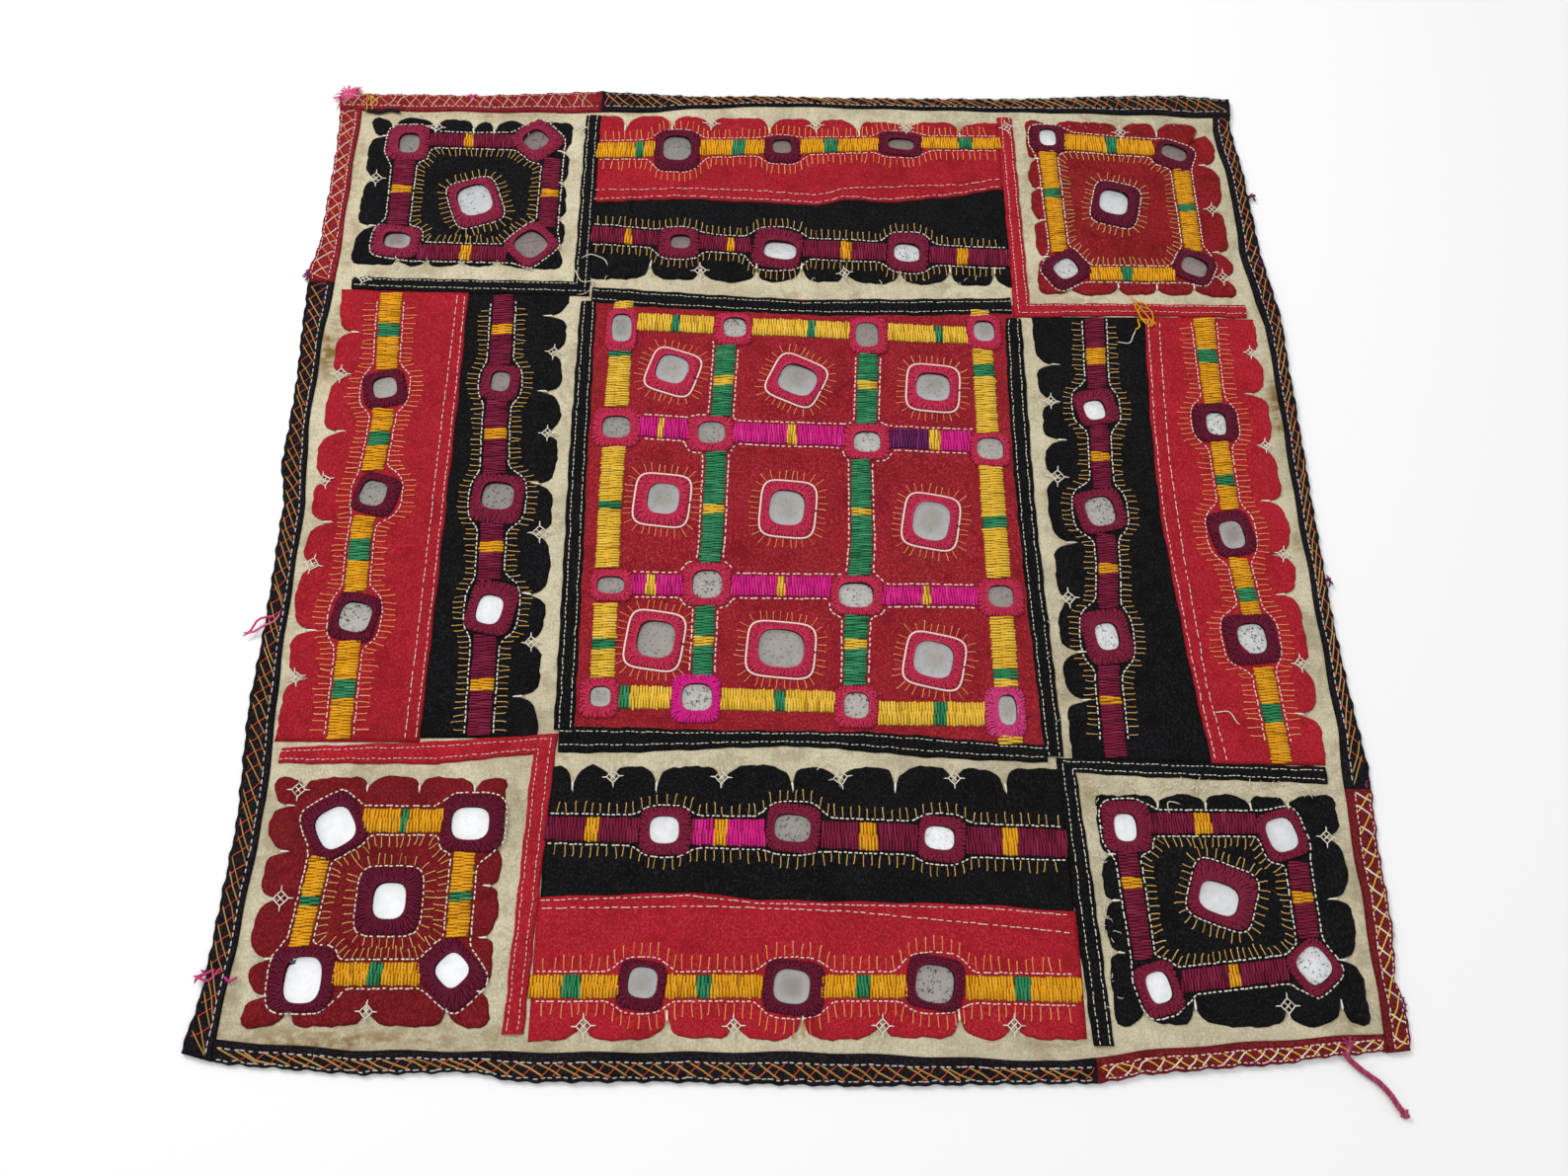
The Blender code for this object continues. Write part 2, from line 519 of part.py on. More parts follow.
def add_tail(collection, parent):
    """A twisted end of a tie that lies on the surface beside the binding."""
    curve = bpy.data.curves.new("corner_tail", "CURVE")
    curve.dimensions = "3D"
    curve.bevel_depth = TAIL["radius"] * MM
    curve.bevel_resolution = 1
    curve.use_fill_caps = True
    spline = curve.splines.new("POLY")
    spline.points.add(len(TAIL["route"]) - 1)
    for point, (x, y) in zip(spline.points, TAIL["route"]):
        point.co = (x * MM, y * MM, TAIL["radius"] * MM * 1.1, 1)
    add_object("corner_tail", curve, collection, parent, "pink_yarn")


def centre_on_origin(pieces, parent):
    """Moves the hanging so that the middle of its outline lies on the origin."""
    bpy.context.view_layer.update()
    graph = bpy.context.evaluated_depsgraph_get()
    points = []
    for piece in pieces:
        ready = piece.evaluated_get(graph)
        points += [ready.matrix_world @ vertex.co for vertex in ready.to_mesh().vertices]
        ready.to_mesh_clear()
    for axis in (0, 1):
        places = [point[axis] for point in points]
        parent.location[axis] = -(min(places) + max(places)) / 2
    bpy.context.view_layer.update()


def main():
    clear_scene()
    pieces = new_collection("banjara_wall_hanging")
    cutters = new_collection("raised_shapes")
    sheet = add_object("hanging", None, pieces, None)
    flat_shape("ground_cloth", [ground_outline()], 0, GROUND_THICK, pieces, sheet, "cream_cotton")
    for strip in BINDINGS:
        outline = band_outline(strip["side"], OUTER_EDGE[strip["side"]], INNER_EDGE[strip["side"]],
                               strip["outer"], strip["inner"], strip["corner"], strip["corner_at"])
        flat_shape(strip["name"], [outline], 0, BINDING_THICK, pieces, sheet, strip["colour"])
    for strip in FRAMES:
        outline = band_outline(strip["side"], FRAME_OUTER[strip["side"]],
                               FRAME_INNER[strip["side"]], strip["span"], strip["span"])
        flat_shape(strip["name"], [outline], CLOTH_LOW, CLOTH_HIGH, pieces, sheet, "black_cloth")
    for border in BORDERS:
        flat_shape(border["name"], [border["outline"]], CLOTH_LOW, CLOTH_HIGH, pieces, sheet,
                   border["colour"])
    carriers = [("centre_panel", centre_outline(), "centre_cloth")]
    carriers += [(strip["name"], strip_outline(strip), strip["colour"]) for strip in STRIPS]
    carriers += [(block["name"], block_outline(block), block["colour"]) for block in BLOCKS]
    for name, outline, colour in carriers:
        cloth = flat_shape(name, [outline], CLOTH_LOW, CLOTH_HIGH, pieces, sheet, colour)
        add_mirror_work(cloth, pieces, cutters, sheet)
    add_tuft(pieces, cutters, sheet)
    add_tail(pieces, sheet)
    centre_on_origin([piece for piece in pieces.objects if piece is not sheet], sheet)


main()
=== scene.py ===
import math
import bmesh
import bpy
import numpy as np
from mathutils import Matrix, Vector


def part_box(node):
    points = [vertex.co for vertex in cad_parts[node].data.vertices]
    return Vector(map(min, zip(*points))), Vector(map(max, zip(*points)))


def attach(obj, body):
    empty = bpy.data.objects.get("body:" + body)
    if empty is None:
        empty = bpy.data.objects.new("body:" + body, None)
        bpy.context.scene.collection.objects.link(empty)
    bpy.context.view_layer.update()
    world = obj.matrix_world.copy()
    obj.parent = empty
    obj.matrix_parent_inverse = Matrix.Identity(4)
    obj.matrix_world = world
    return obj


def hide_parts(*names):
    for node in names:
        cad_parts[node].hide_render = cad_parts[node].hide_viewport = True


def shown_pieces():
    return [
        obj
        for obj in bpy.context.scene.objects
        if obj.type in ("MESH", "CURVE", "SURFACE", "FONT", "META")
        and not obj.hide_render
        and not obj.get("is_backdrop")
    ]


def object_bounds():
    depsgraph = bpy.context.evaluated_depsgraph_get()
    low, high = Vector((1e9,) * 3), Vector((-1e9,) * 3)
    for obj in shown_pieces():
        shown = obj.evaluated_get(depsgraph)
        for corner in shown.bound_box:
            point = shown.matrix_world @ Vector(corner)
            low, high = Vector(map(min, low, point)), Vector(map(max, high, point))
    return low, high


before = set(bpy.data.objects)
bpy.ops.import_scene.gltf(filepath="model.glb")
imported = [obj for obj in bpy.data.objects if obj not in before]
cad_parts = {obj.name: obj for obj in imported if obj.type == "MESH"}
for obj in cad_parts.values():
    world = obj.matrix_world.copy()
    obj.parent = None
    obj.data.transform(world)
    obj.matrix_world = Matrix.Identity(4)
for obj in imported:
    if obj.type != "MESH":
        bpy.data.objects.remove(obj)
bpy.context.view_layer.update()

# The tables are in millimetres from the middle of the centre panel, x right and y up. They are
# shifted so that the left frame strip starts and ends where its solid does.
mm = 0.001
stripCorner = {"left": -117.5, "top": 117.4}
tau = 2 * np.pi
draw = np.random.default_rng(422)
stripLow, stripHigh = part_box("frame_left")
shift = np.array([stripLow.x - stripCorner["left"] * mm, stripHigh.y - stripCorner["top"] * mm, 0.0])

# The camera: target and distance in millimetres, angles in degrees.
cameraSet = {"target": (-9.484, -41.541, 0.0), "distance": 569.07, "azimuth": -5.310,
             "elevation": 69.435, "roll": 5.597, "lens": 27.05}


def makeCamera(c):
    # It stands at its distance from the target, out along azimuth and elevation, and is turned
    # round its own axis by the roll.
    a, e, roll = (math.radians(c[k]) for k in ("azimuth", "elevation", "roll"))
    back = Vector((math.sin(a) * math.cos(e), -math.cos(a) * math.cos(e), math.sin(e)))
    right = (-back).cross(Vector((0, 0, 1))).normalized()
    up = right.cross(-back)
    side = right * math.cos(roll) + up * math.sin(roll)
    top = up * math.cos(roll) - right * math.sin(roll)
    data = bpy.data.cameras.new("camera")
    data.lens, data.sensor_width = c["lens"], 36
    data.clip_start, data.clip_end = 0.01, 20
    camera = bpy.data.objects.new("camera", data)
    place = Vector(c["target"]) * mm + back * c["distance"] * mm + Vector(shift)
    camera.matrix_world = Matrix((side, top, back)).transposed().to_4x4()
    camera.location = place
    bpy.context.scene.collection.objects.link(camera)
    bpy.context.scene.camera = camera


makeCamera(cameraSet)

lightSet = {  # name: (place in metres, size, watts, colour)
    "keyPanel": ((-0.75, 0.62, 1.05), 0.5, 12.0, (1.0, 0.985, 0.96)),
    "fillPanel": ((0.9, -0.5, 1.2), 1.4, 1.5, (0.97, 0.985, 1.0)),
}
for lightName, (place, size, watts, colour) in lightSet.items():
    lamp = bpy.data.lights.new(lightName, "AREA")
    lamp.size, lamp.energy, lamp.color = size, watts, colour
    holder = bpy.data.objects.new(lightName, lamp)
    holder.location = place
    holder.rotation_euler = (-Vector(place)).to_track_quat("-Z", "Y").to_euler()
    holder.visible_glossy = False
    bpy.context.scene.collection.objects.link(holder)

# A dome of soft light, pale overhead and dim at the horizon.
domeSet = {"low": (0.17, 0.175, 0.18, 1), "high": (0.985, 0.99, 1.0, 1), "full": 0.96}
world = bpy.data.worlds.new("studio")
bpy.context.scene.world = world
world.use_nodes = True
domeNodes, domeLinks = world.node_tree.nodes, world.node_tree.links
where, split, fade = (domeNodes.new(kind) for kind in (
    "ShaderNodeTexCoord", "ShaderNodeSeparateXYZ", "ShaderNodeValToRGB"))
fade.color_ramp.interpolation = "EASE"
fade.color_ramp.elements[0].color = domeSet["low"]
fade.color_ramp.elements[1].position, fade.color_ramp.elements[1].color = domeSet["full"], domeSet["high"]
domeLinks.new(where.outputs["Generated"], split.inputs[0])
domeLinks.new(split.outputs["Z"], fade.inputs[0])
domeLinks.new(fade.outputs["Color"], domeNodes["Background"].inputs["Color"])
bpy.context.scene.view_settings.view_transform = "Standard"


def linear(red, green, blue):
    # 0 to 255 display values as linear light.
    shares = np.array([red, green, blue]) / 255
    return tuple(np.where(shares < 0.04045, shares / 12.92, ((shares + 0.055) / 1.055) ** 2.4)) + (1.0,)


class Value:  # a socket that takes + - * / and the like
    def __init__(self, recipe, socket):
        self.recipe, self.socket = recipe, socket

    def maths(self, operation, *others):  # a maths node with these inputs
        settings = {"operation": operation}
        return self.recipe.node("ShaderNodeMath", settings, dict(enumerate(others)))

    def __add__(self, other): return self.maths("ADD", self, other)
    def __radd__(self, other): return self.maths("ADD", other, self)
    def __sub__(self, other): return self.maths("SUBTRACT", self, other)
    def __rsub__(self, other): return self.maths("SUBTRACT", other, self)
    def __mul__(self, other): return self.maths("MULTIPLY", self, other)
    def __rmul__(self, other): return self.maths("MULTIPLY", other, self)
    def __pow__(self, other): return self.maths("POWER", self, other)
    def sine(self): return self.maths("SINE", self)
    def clamp(self): return self.maths("MINIMUM", self.maths("MAXIMUM", self, 0.0), 1.0)


class Recipe:  # one material
    def __init__(self, name, **constants):
        self.material = bpy.data.materials.new(name)
        self.material.use_nodes = True
        self.tree = self.material.node_tree
        self.shader = self.tree.nodes["Principled BSDF"]
        for socket, value in constants.items():
            self.shader.inputs[socket.replace("_", " ")].default_value = value

    def plug(self, socket, value):  # a link from a Value, or else a plain number or colour
        if isinstance(value, Value):
            self.tree.links.new(value.socket, socket)
        else:
            socket.default_value = value

    def node(self, kind, settings=None, inputs=None, output=0):
        # One node with its settings and inputs, as the Value of one of its outputs.
        made = self.tree.nodes.new(kind)
        for key, value in (settings or {}).items():
            if key == "stops":
                ramp = made.color_ramp
                ramp.elements[0].position, ramp.elements[0].color = value[0]
                ramp.elements[1].position, ramp.elements[1].color = value[-1]
                for place, colour in value[1:-1]:
                    ramp.elements.new(place).color = colour
            else:
                setattr(made, key, value)
        for key, value in (inputs or {}).items():
            self.plug(made.inputs[key], value)
        return Value(self, made.outputs[output])

    def here(self, x=1.0, y=1.0, z=1.0):
        # Object coordinates in millimetres, stretched by x, y and z.
        coords = self.node("ShaderNodeTexCoord", output="Object")
        return self.node("ShaderNodeVectorMath", {"operation": "MULTIPLY"},
                         {0: coords, 1: (1000 * x, 1000 * y, 1000 * z)})

    def axes(self, vector):  # x, y and z of a vector
        return [self.node("ShaderNodeSeparateXYZ", None, {0: vector}, axis) for axis in range(3)]

    def noise(self, vector, scale, detail=2.0, roughness=0.5):
        return self.node("ShaderNodeTexNoise", None,
                         {"Vector": vector, "Scale": scale, "Detail": detail, "Roughness": roughness})

    def attribute(self, name, output="Fac"):
        return self.node("ShaderNodeAttribute", {"attribute_name": name}, output=output)

    def step(self, value, low, high):
        # 0 under low, 1 over high and smooth between.
        return self.node("ShaderNodeMapRange", {"interpolation_type": "SMOOTHSTEP"},
                         {"Value": value, "From Min": low, "From Max": high})

    def mix(self, factor, first, second, blend="MIX"):
        settings = {"data_type": "RGBA", "blend_type": blend}
        return self.node("ShaderNodeMix", settings, {0: factor, 6: first, 7: second}, 2)

    def finish(self, colour, roughness=None, height=None, strength=0.5, depth=0.0002):
        # Plugs colour, roughness and bump into the shader.
        self.plug(self.shader.inputs["Base Color"], colour)
        if roughness is not None:
            self.plug(self.shader.inputs["Roughness"], roughness)
        if height is not None:
            bump = self.node("ShaderNodeBump", None,
                             {"Height": height, "Strength": strength, "Distance": depth})
            self.plug(self.shader.inputs["Normal"], bump)
        return self.material


plainWeave = {"pitch": 0.75, "stain": 0.35, "wear": 0.35, "rough": 0.82, "bump": 0.55, "crease": 5.0,
              "grain": 0.8}
weaveSet = {  # colours: threads in shade, cloth, worn threads; what else differs from the plain weave
    "cream_cotton": {"colours": ((150, 138, 108), (204, 195, 167), (226, 220, 200)), "pitch": 0.85,
                     "stain": 1.0, "wear": 0.4, "rough": 0.9, "bump": 0.6, "crease": 10.0, "grain": 0.4},
    "centre_cloth": {"colours": ((106, 14, 24), (144, 27, 40), (172, 62, 64)), "wear": 0.36},
    "red_cloth": {"colours": ((132, 16, 28), (166, 28, 42), (186, 56, 62)), "pitch": 0.8, "stain": 0.22,
                  "wear": 0.34, "rough": 0.8},
    "deep_red_cloth": {"colours": ((96, 12, 18), (134, 24, 32), (158, 50, 50)), "wear": 0.3},
    "black_cloth": {"colours": ((5, 5, 6), (14, 14, 16), (38, 38, 41)), "stain": 0.1, "rough": 0.85},
    "binding_red": {"colours": ((90, 13, 20), (134, 26, 36), (166, 64, 66)), "pitch": 0.8, "stain": 0.45,
                    "wear": 0.5, "rough": 0.8, "bump": 0.6},
    "binding_black": {"colours": ((8, 7, 10), (22, 19, 24), (54, 47, 50)), "pitch": 0.8, "stain": 0.1,
                      "wear": 0.5, "rough": 0.85, "bump": 0.6},
}


def clothMaterial(name, w):
    # Plain weave: warp times weft, two sines of the pitch. Noise in longer waves adds slubs, shade,
    # fibres, grain, creases and stains, each mixed in where it is over a limit. The creases and the
    # edge attribute darken it as painted shade.
    r = Recipe(name, Specular_IOR_Level=0.12)
    dark, plain, worn = (linear(*c) for c in w["colours"])
    straight = r.here()
    drift = r.node("ShaderNodeTexNoise", None, {"Vector": r.here(), "Scale": 0.06}, 1)
    drift = r.node("ShaderNodeVectorMath", {"operation": "SCALE"}, {0: drift, "Scale": 6.0})
    warped = r.node("ShaderNodeVectorMath", {"operation": "ADD"}, {0: straight, 1: drift})
    x, y, _ = r.axes(warped)
    turn = tau / w["pitch"]
    warp, weft = (x * turn).sine(), (y * turn).sine()
    weave = warp * weft * 0.5 + 0.5  # over and under of a plain weave
    slubs = r.noise(r.here(0.09, 2.1, 1.0), 1.0) * 0.5 + r.noise(r.here(2.1, 0.09, 1.0), 1.0) * 0.5
    patches = r.noise(r.here(), 0.035, 4.0, 0.6)
    fibres = r.noise(r.here(), 2.2, 3.0, 0.7)
    shade = 0.35 + 0.65 * r.step(slubs * 0.4 + patches * 0.6, 0.34, 0.6)
    colour = r.mix(shade, dark, plain)
    colour = r.mix(r.step(fibres, 0.52, 0.8) * w["wear"], colour, worn)
    colour = r.mix(weave * 0.3, colour, dark)
    grain = r.noise(r.here(1.0, 0.62, 1.0), 1.55, 1.0, 0.5)
    colour = r.mix(r.step(grain, 0.52, 0.3) * w["grain"], colour, dark)
    colour = r.mix(r.step(grain, 0.5, 0.72) * w["grain"] * 0.8, colour, worn)
    creases = r.noise(warped, 0.11, 4.0, 0.6)
    # painted shade: darker where the crease noise dips, in the creases
    colour = r.mix(r.step(creases, 0.5, 0.3) * 0.6, colour, dark)
    blots = r.step(r.noise(r.here(), 0.022, 5.0, 0.62), 0.52, 0.68)
    specks = r.step(r.noise(r.here(), 0.42, 2.0, 0.5), 0.68, 0.76)
    soil = r.mix(0.75, plain, linear(74, 52, 30))
    colour = r.mix((blots * 0.55 + specks * 0.45).clamp() * w["stain"] * 0.6, colour, soil)
    marks = r.attribute("soil")
    uneven = r.step(r.noise(r.here(0.5, 1.0, 1.0), 0.3, 4.0, 0.6), 0.4, 0.62)
    marks = marks * (0.5 + uneven * 0.9)
    colour = r.mix(marks.clamp(), colour, linear(124, 96, 56))
    # painted shade along turned edges and folds, from the edge attribute
    colour = r.mix(r.attribute("edge") * 0.55, colour, dark)
    height = weave * 0.5 + slubs * 0.7 + fibres * 0.4 + creases * w["crease"]
    return r.finish(colour, w["rough"] + (fibres - 0.5) * 0.2, height, w["bump"], 0.00025)


threadSet = {  # colours: painted shade in the gaps, thread, raised fibres
    "cream_thread": ((140, 126, 104), (232, 224, 206), (248, 244, 232)),
    "pale_thread": ((96, 88, 86), (196, 188, 184), (220, 214, 208)),
    "blush_thread": ((160, 84, 84), (240, 202, 194), (250, 226, 218)),
    "gold_thread": ((138, 82, 6), (226, 160, 20), (236, 182, 52)),
    "yellow_thread": ((138, 102, 22), (230, 186, 56), (242, 208, 98)),
    "green_thread": ((12, 54, 34), (46, 132, 86), (84, 162, 118)),
    "maroon_thread": ((46, 2, 16), (118, 20, 52), (142, 44, 76)),
    "plum_thread": ((40, 2, 16), (96, 12, 42), (118, 32, 60)),
    "wine_thread": ((48, 4, 18), (122, 24, 54), (148, 48, 78)),
    "crimson_thread": ((96, 8, 26), (188, 42, 76), (212, 84, 112)),
    "rose_thread": ((60, 8, 22), (140, 32, 64), (170, 62, 90)),
    "magenta_thread": ((124, 6, 76), (206, 28, 128), (224, 66, 150)),
    "purple_thread": ((40, 8, 34), (98, 22, 82), (134, 54, 112)),
    "pink_yarn": ((110, 16, 60), (200, 56, 116), (228, 116, 156)),
    "orange_thread": ((158, 54, 30), (234, 140, 76), (246, 178, 120)),
    "tan_thread": ((116, 78, 26), (214, 166, 88), (234, 200, 136)),
    "ochre_thread": ((66, 46, 18), (178, 136, 70), (208, 172, 108)),
    "coral_thread": ((120, 24, 18), (196, 70, 44), (222, 108, 74)),
    "black_thread": ((6, 6, 8), (16, 16, 18), (46, 46, 50)),
    "faded_yarn": ((92, 22, 48), (158, 52, 86), (190, 96, 122)),
}


def threadMaterial(name, colours):
    # From the colour of the gaps, a painted shade, to that of the raised fibres by tone, with
    # painted shade in the grooves between the plies.
    r = Recipe(name, Specular_IOR_Level=0.25)
    gap, plain, raised = (linear(*c) for c in colours)
    tone = r.attribute("tone")  # 0 for the painted shade of the gaps, about 0.5 on a thread, 1 on the palest
    along, around, _ = r.axes(r.node("ShaderNodeUVMap", {"uv_map": "threadMap"}))
    twist = (along * 3.4 + around * tau).sine() * 0.5 + 0.5  # plies wind round the thread
    fibres = r.noise(r.here(), 3.0, 2.0, 0.6)
    colour = r.mix(r.step(tone, 0.0, 0.42), gap, plain)
    colour = r.mix(r.step(tone + (fibres - 0.5) * 0.5, 0.5, 1.1), colour, raised)
    # painted shade in the grooves between the plies
    colour = r.mix((1 - twist) * 0.22, colour, gap)
    return r.finish(colour, 0.62 + (fibres - 0.5) * 0.25, twist * 0.6 + fibres * 0.5, 0.6, 0.00018)


def glassMaterial():
    # Old silvering: brighter with a power of shine, clouded by noise, and darker at scratches and
    # spots of lost silver; the darker rim is a painted shadow of the thread ring.
    r = Recipe("mirror_glass", Metallic=1.0, Coat_Roughness=0.04, Coat_Weight=0.4)
    shine, spots = r.attribute("shine"), r.attribute("spots")
    clouds = r.noise(r.here(), 0.16, 4.0, 0.6)
    grain = r.noise(r.here(), 1.5, 3.0, 0.75)
    bright = (shine ** 2.1) * (0.93 + r.step(clouds, 0.36, 0.62) * 0.12)
    bright = (bright + (grain - 0.5) * 0.5 * spots * (1.15 - shine)).clamp()
    silver = r.mix(bright, (0.02, 0.016, 0.014, 1), (0.985, 0.99, 0.995, 1))
    silver = r.mix(r.step(shine, 0.82, 0.7), silver, (0.98, 0.91, 0.82, 1), "MULTIPLY")
    silver = r.mix(r.step(shine, 0.61, 0.5) * 0.42, silver, (0.36, 0.24, 0.21, 1))
    bend = r.noise(r.here(), 0.34, 2.0, 0.5) - 0.5
    silver = r.mix(r.attribute("halo") * 0.5, silver, linear(206, 208, 212))
    scratches = r.step(bend * bend, 0.0011, 0.0002) * r.step(r.noise(r.here(), 0.42, 1.0), 0.5, 0.6)
    foxing = r.step(r.noise(r.here(), 0.74, 2.0, 0.55), 0.6, 0.66) * spots
    rust = r.step(r.noise(r.here(), 0.3, 4.0, 0.65), 0.6, 0.72) * spots
    colour = r.mix(rust * 0.3, silver, linear(132, 112, 92))
    colour = r.mix(scratches * spots * 0.75, colour, linear(52, 47, 44))
    colour = r.mix(foxing * 0.85, colour, linear(38, 34, 32))
    # painted shadow of the thread ring on the glass, towards its rim
    colour = r.mix(r.attribute("edge") * 0.6, colour, linear(78, 74, 76))
    rough = 0.16 + (1 - bright) * 0.2 + foxing * 0.3 + (grain - 0.5) * spots * 0.2
    return r.finish(colour, rough, clouds + grain * 0.05, 0.25, 0.0003)


# darker copies of three cloth materials: painted shade
darkerSet = {"deep_red_worn": ("deep_red_cloth", 0.86), "binding_red_worn": ("binding_red", 0.84),
             "red_cloth_worn": ("red_cloth", 0.94)}
for name, (base, tone) in darkerSet.items():
    darker = tuple(tuple(channel * tone for channel in colour) for colour in weaveSet[base]["colours"])
    weaveSet[name] = dict(weaveSet[base], colours=darker)
shadedSet = {  # pieces whose cloth is a darker copy of its material: painted shade
    "block_cloth_bottom_left": "deep_red_worn", "binding_cloth_right_red": "binding_red_worn",
    "binding_cloth_bottom_red": "binding_red_worn", "red_strip_top": "red_cloth_worn",
    "red_strip_left": "red_cloth_worn"}
materials = {name: clothMaterial(name, plainWeave | w) for name, w in weaveSet.items()}
materials |= {name: threadMaterial(name, c) for name, c in threadSet.items()}
materials["mirror_glass"] = glassMaterial()
print("materials", len(materials))

waveSet = (  # wavelength, direction in degrees, height, phase
    (230, 18, 0.46, 0.4), (170, 78, 0.4, 2.1), (120, -38, 0.34, 4.0), (62, 52, 0.2, 1.0),
    (44, 8, 0.19, 0.2), (36, 83, 0.18, 3.3), (29, -47, 0.14, 5.1), (21, 66, 0.09, 2.6))
puckerSet = {"pitch": 11.5, "height": 0.3, "middle": 196, "spread": 24, "reach": 116}


def relief(x, y):
    # Height of the lying cloth: a sum of sine waves, smoothly kept over zero, plus short
    # puckers across the side strips where their stitches draw them in.
    total = 0.12
    for length, degrees, height, phase in waveSet:
        c, s = math.cos(math.radians(degrees)), math.sin(math.radians(degrees))
        total = total + height * np.sin(tau * (x * c + y * s) / length + phase)
    waves = (total + np.sqrt(total ** 2 + 0.12)) / 2
    p = puckerSet
    for run, across in ((x, y), (y, x)):
        near = np.exp(-((np.abs(across) - p["middle"]) / p["spread"]) ** 2)
        inside = 1 / (1 + np.exp((np.abs(run) - p["reach"]) / 2))
        ripple = np.sin(tau * run / p["pitch"] + 1.6 * np.sin(run / 19) + across / 14)
        waves = waves + p["height"] * (1 + ripple) * near * inside
    return waves


def gridQuads(rows, cols, wrapRows=False, wrapCols=False):
    # Quads between neighbours of a grid with cols points in a row, facing up when rows run
    # in y and columns in x.
    i, j = np.meshgrid(np.arange(rows - (not wrapRows)), np.arange(cols - (not wrapCols)), indexing="ij")
    up, over = (i + 1) % rows, (j + 1) % cols
    return np.stack([i * cols + j, i * cols + over, up * cols + over, up * cols + j], -1).reshape(-1, 4)


def solidGrid(top, bottom, wrapRows=False, wrapCols=False):
    # Points and quads of a closed slab between two grids of the same size.
    rows, cols, _ = top.shape
    size = rows * cols
    upper = gridQuads(rows, cols, wrapRows, wrapCols)
    index = np.arange(size).reshape(rows, cols)
    rims = []
    if not wrapCols:
        rims += [index[:, 0][::-1], index[:, -1]]
    if not wrapRows:
        rims += [index[0], index[-1][::-1]]
    walls = [upper, upper[:, ::-1] + size]
    for rim in rims:
        if (wrapCols and not wrapRows) or (wrapRows and not wrapCols):
            rim = np.append(rim, rim[0])
        walls.append(np.stack([rim[:-1], rim[:-1] + size, rim[1:] + size, rim[1:]], -1))
    return np.concatenate([top.reshape(-1, 3), bottom.reshape(-1, 3)]), np.concatenate(walls)


mergeSet = {"doubles": 2e-6, "thin": 1e-7}  # metres


class Bundle:  # gathers the meshes of one piece
    def __init__(self):
        self.points, self.quads, self.tris, self.fields, self.maps, self.count = [], [], [], {}, [], 0

    def add(self, points, quads, tris=None, quadMap=None, triMap=None, **fields):
        # One more mesh: its faces are numbered on from those before it.
        self.points.append(points)
        self.quads.append(np.asarray(quads) + self.count)
        self.tris.append((np.zeros((0, 3), int) if tris is None else tris) + self.count)
        quadMap = np.zeros((len(quads), 4, 2)) if quadMap is None else quadMap
        triMap = np.zeros((len(self.tris[-1]), 3, 2)) if triMap is None else triMap
        self.maps.append((quadMap, triMap))
        for key, value in fields.items():
            self.fields.setdefault(key, []).append(np.broadcast_to(value, len(points)))
        self.count += len(points)

    def make(self, name, material, merge=False):
        # One object from all that was added, with its fields and material.
        points = np.concatenate(self.points) * mm + shift
        quads, tris = np.concatenate(self.quads), np.concatenate(self.tris)
        mesh = bpy.data.meshes.new(name)
        mesh.vertices.add(len(points))
        mesh.vertices.foreach_set("co", points.ravel())
        mesh.loops.add(4 * len(quads) + 3 * len(tris))
        mesh.loops.foreach_set("vertex_index", np.concatenate([quads.ravel(), tris.ravel()]))
        mesh.polygons.add(len(quads) + len(tris))
        starts = np.concatenate([np.arange(len(quads)) * 4, 4 * len(quads) + np.arange(len(tris)) * 3])
        mesh.polygons.foreach_set("loop_start", starts)
        mesh.update(calc_edges=True)
        uv = np.concatenate([np.concatenate([q for q, _ in self.maps]).reshape(-1, 2),
                             np.concatenate([t for _, t in self.maps]).reshape(-1, 2)])
        mesh.uv_layers.new(name="threadMap").data.foreach_set("uv", uv.ravel())
        for key, values in self.fields.items():
            made = mesh.attributes.new(key, "FLOAT", "POINT")
            made.data.foreach_set("value", np.concatenate(values).astype(np.float32))
        mesh.shade_smooth()
        if merge:
            work = bmesh.new()
            work.from_mesh(mesh)
            bmesh.ops.remove_doubles(work, verts=work.verts, dist=mergeSet["doubles"])
            bmesh.ops.dissolve_degenerate(work, edges=work.edges, dist=mergeSet["thin"])
            bmesh.ops.recalc_face_normals(work, faces=work.faces)
            work.to_mesh(mesh)
            work.free()
        # a piece in the shaded set takes the darker copy of its cloth, as painted shade
        mesh.materials.append(materials[shadedSet.get(name, material)])
        piece = bpy.data.objects.new(name, mesh)
        bpy.context.scene.collection.objects.link(piece)
        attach(piece, "root")
        return piece


def mapCorners(*corners):
    # The (along, around) pair of each corner of many faces as one array.
    return np.stack([np.stack(corner, -1) for corner in corners], 2)


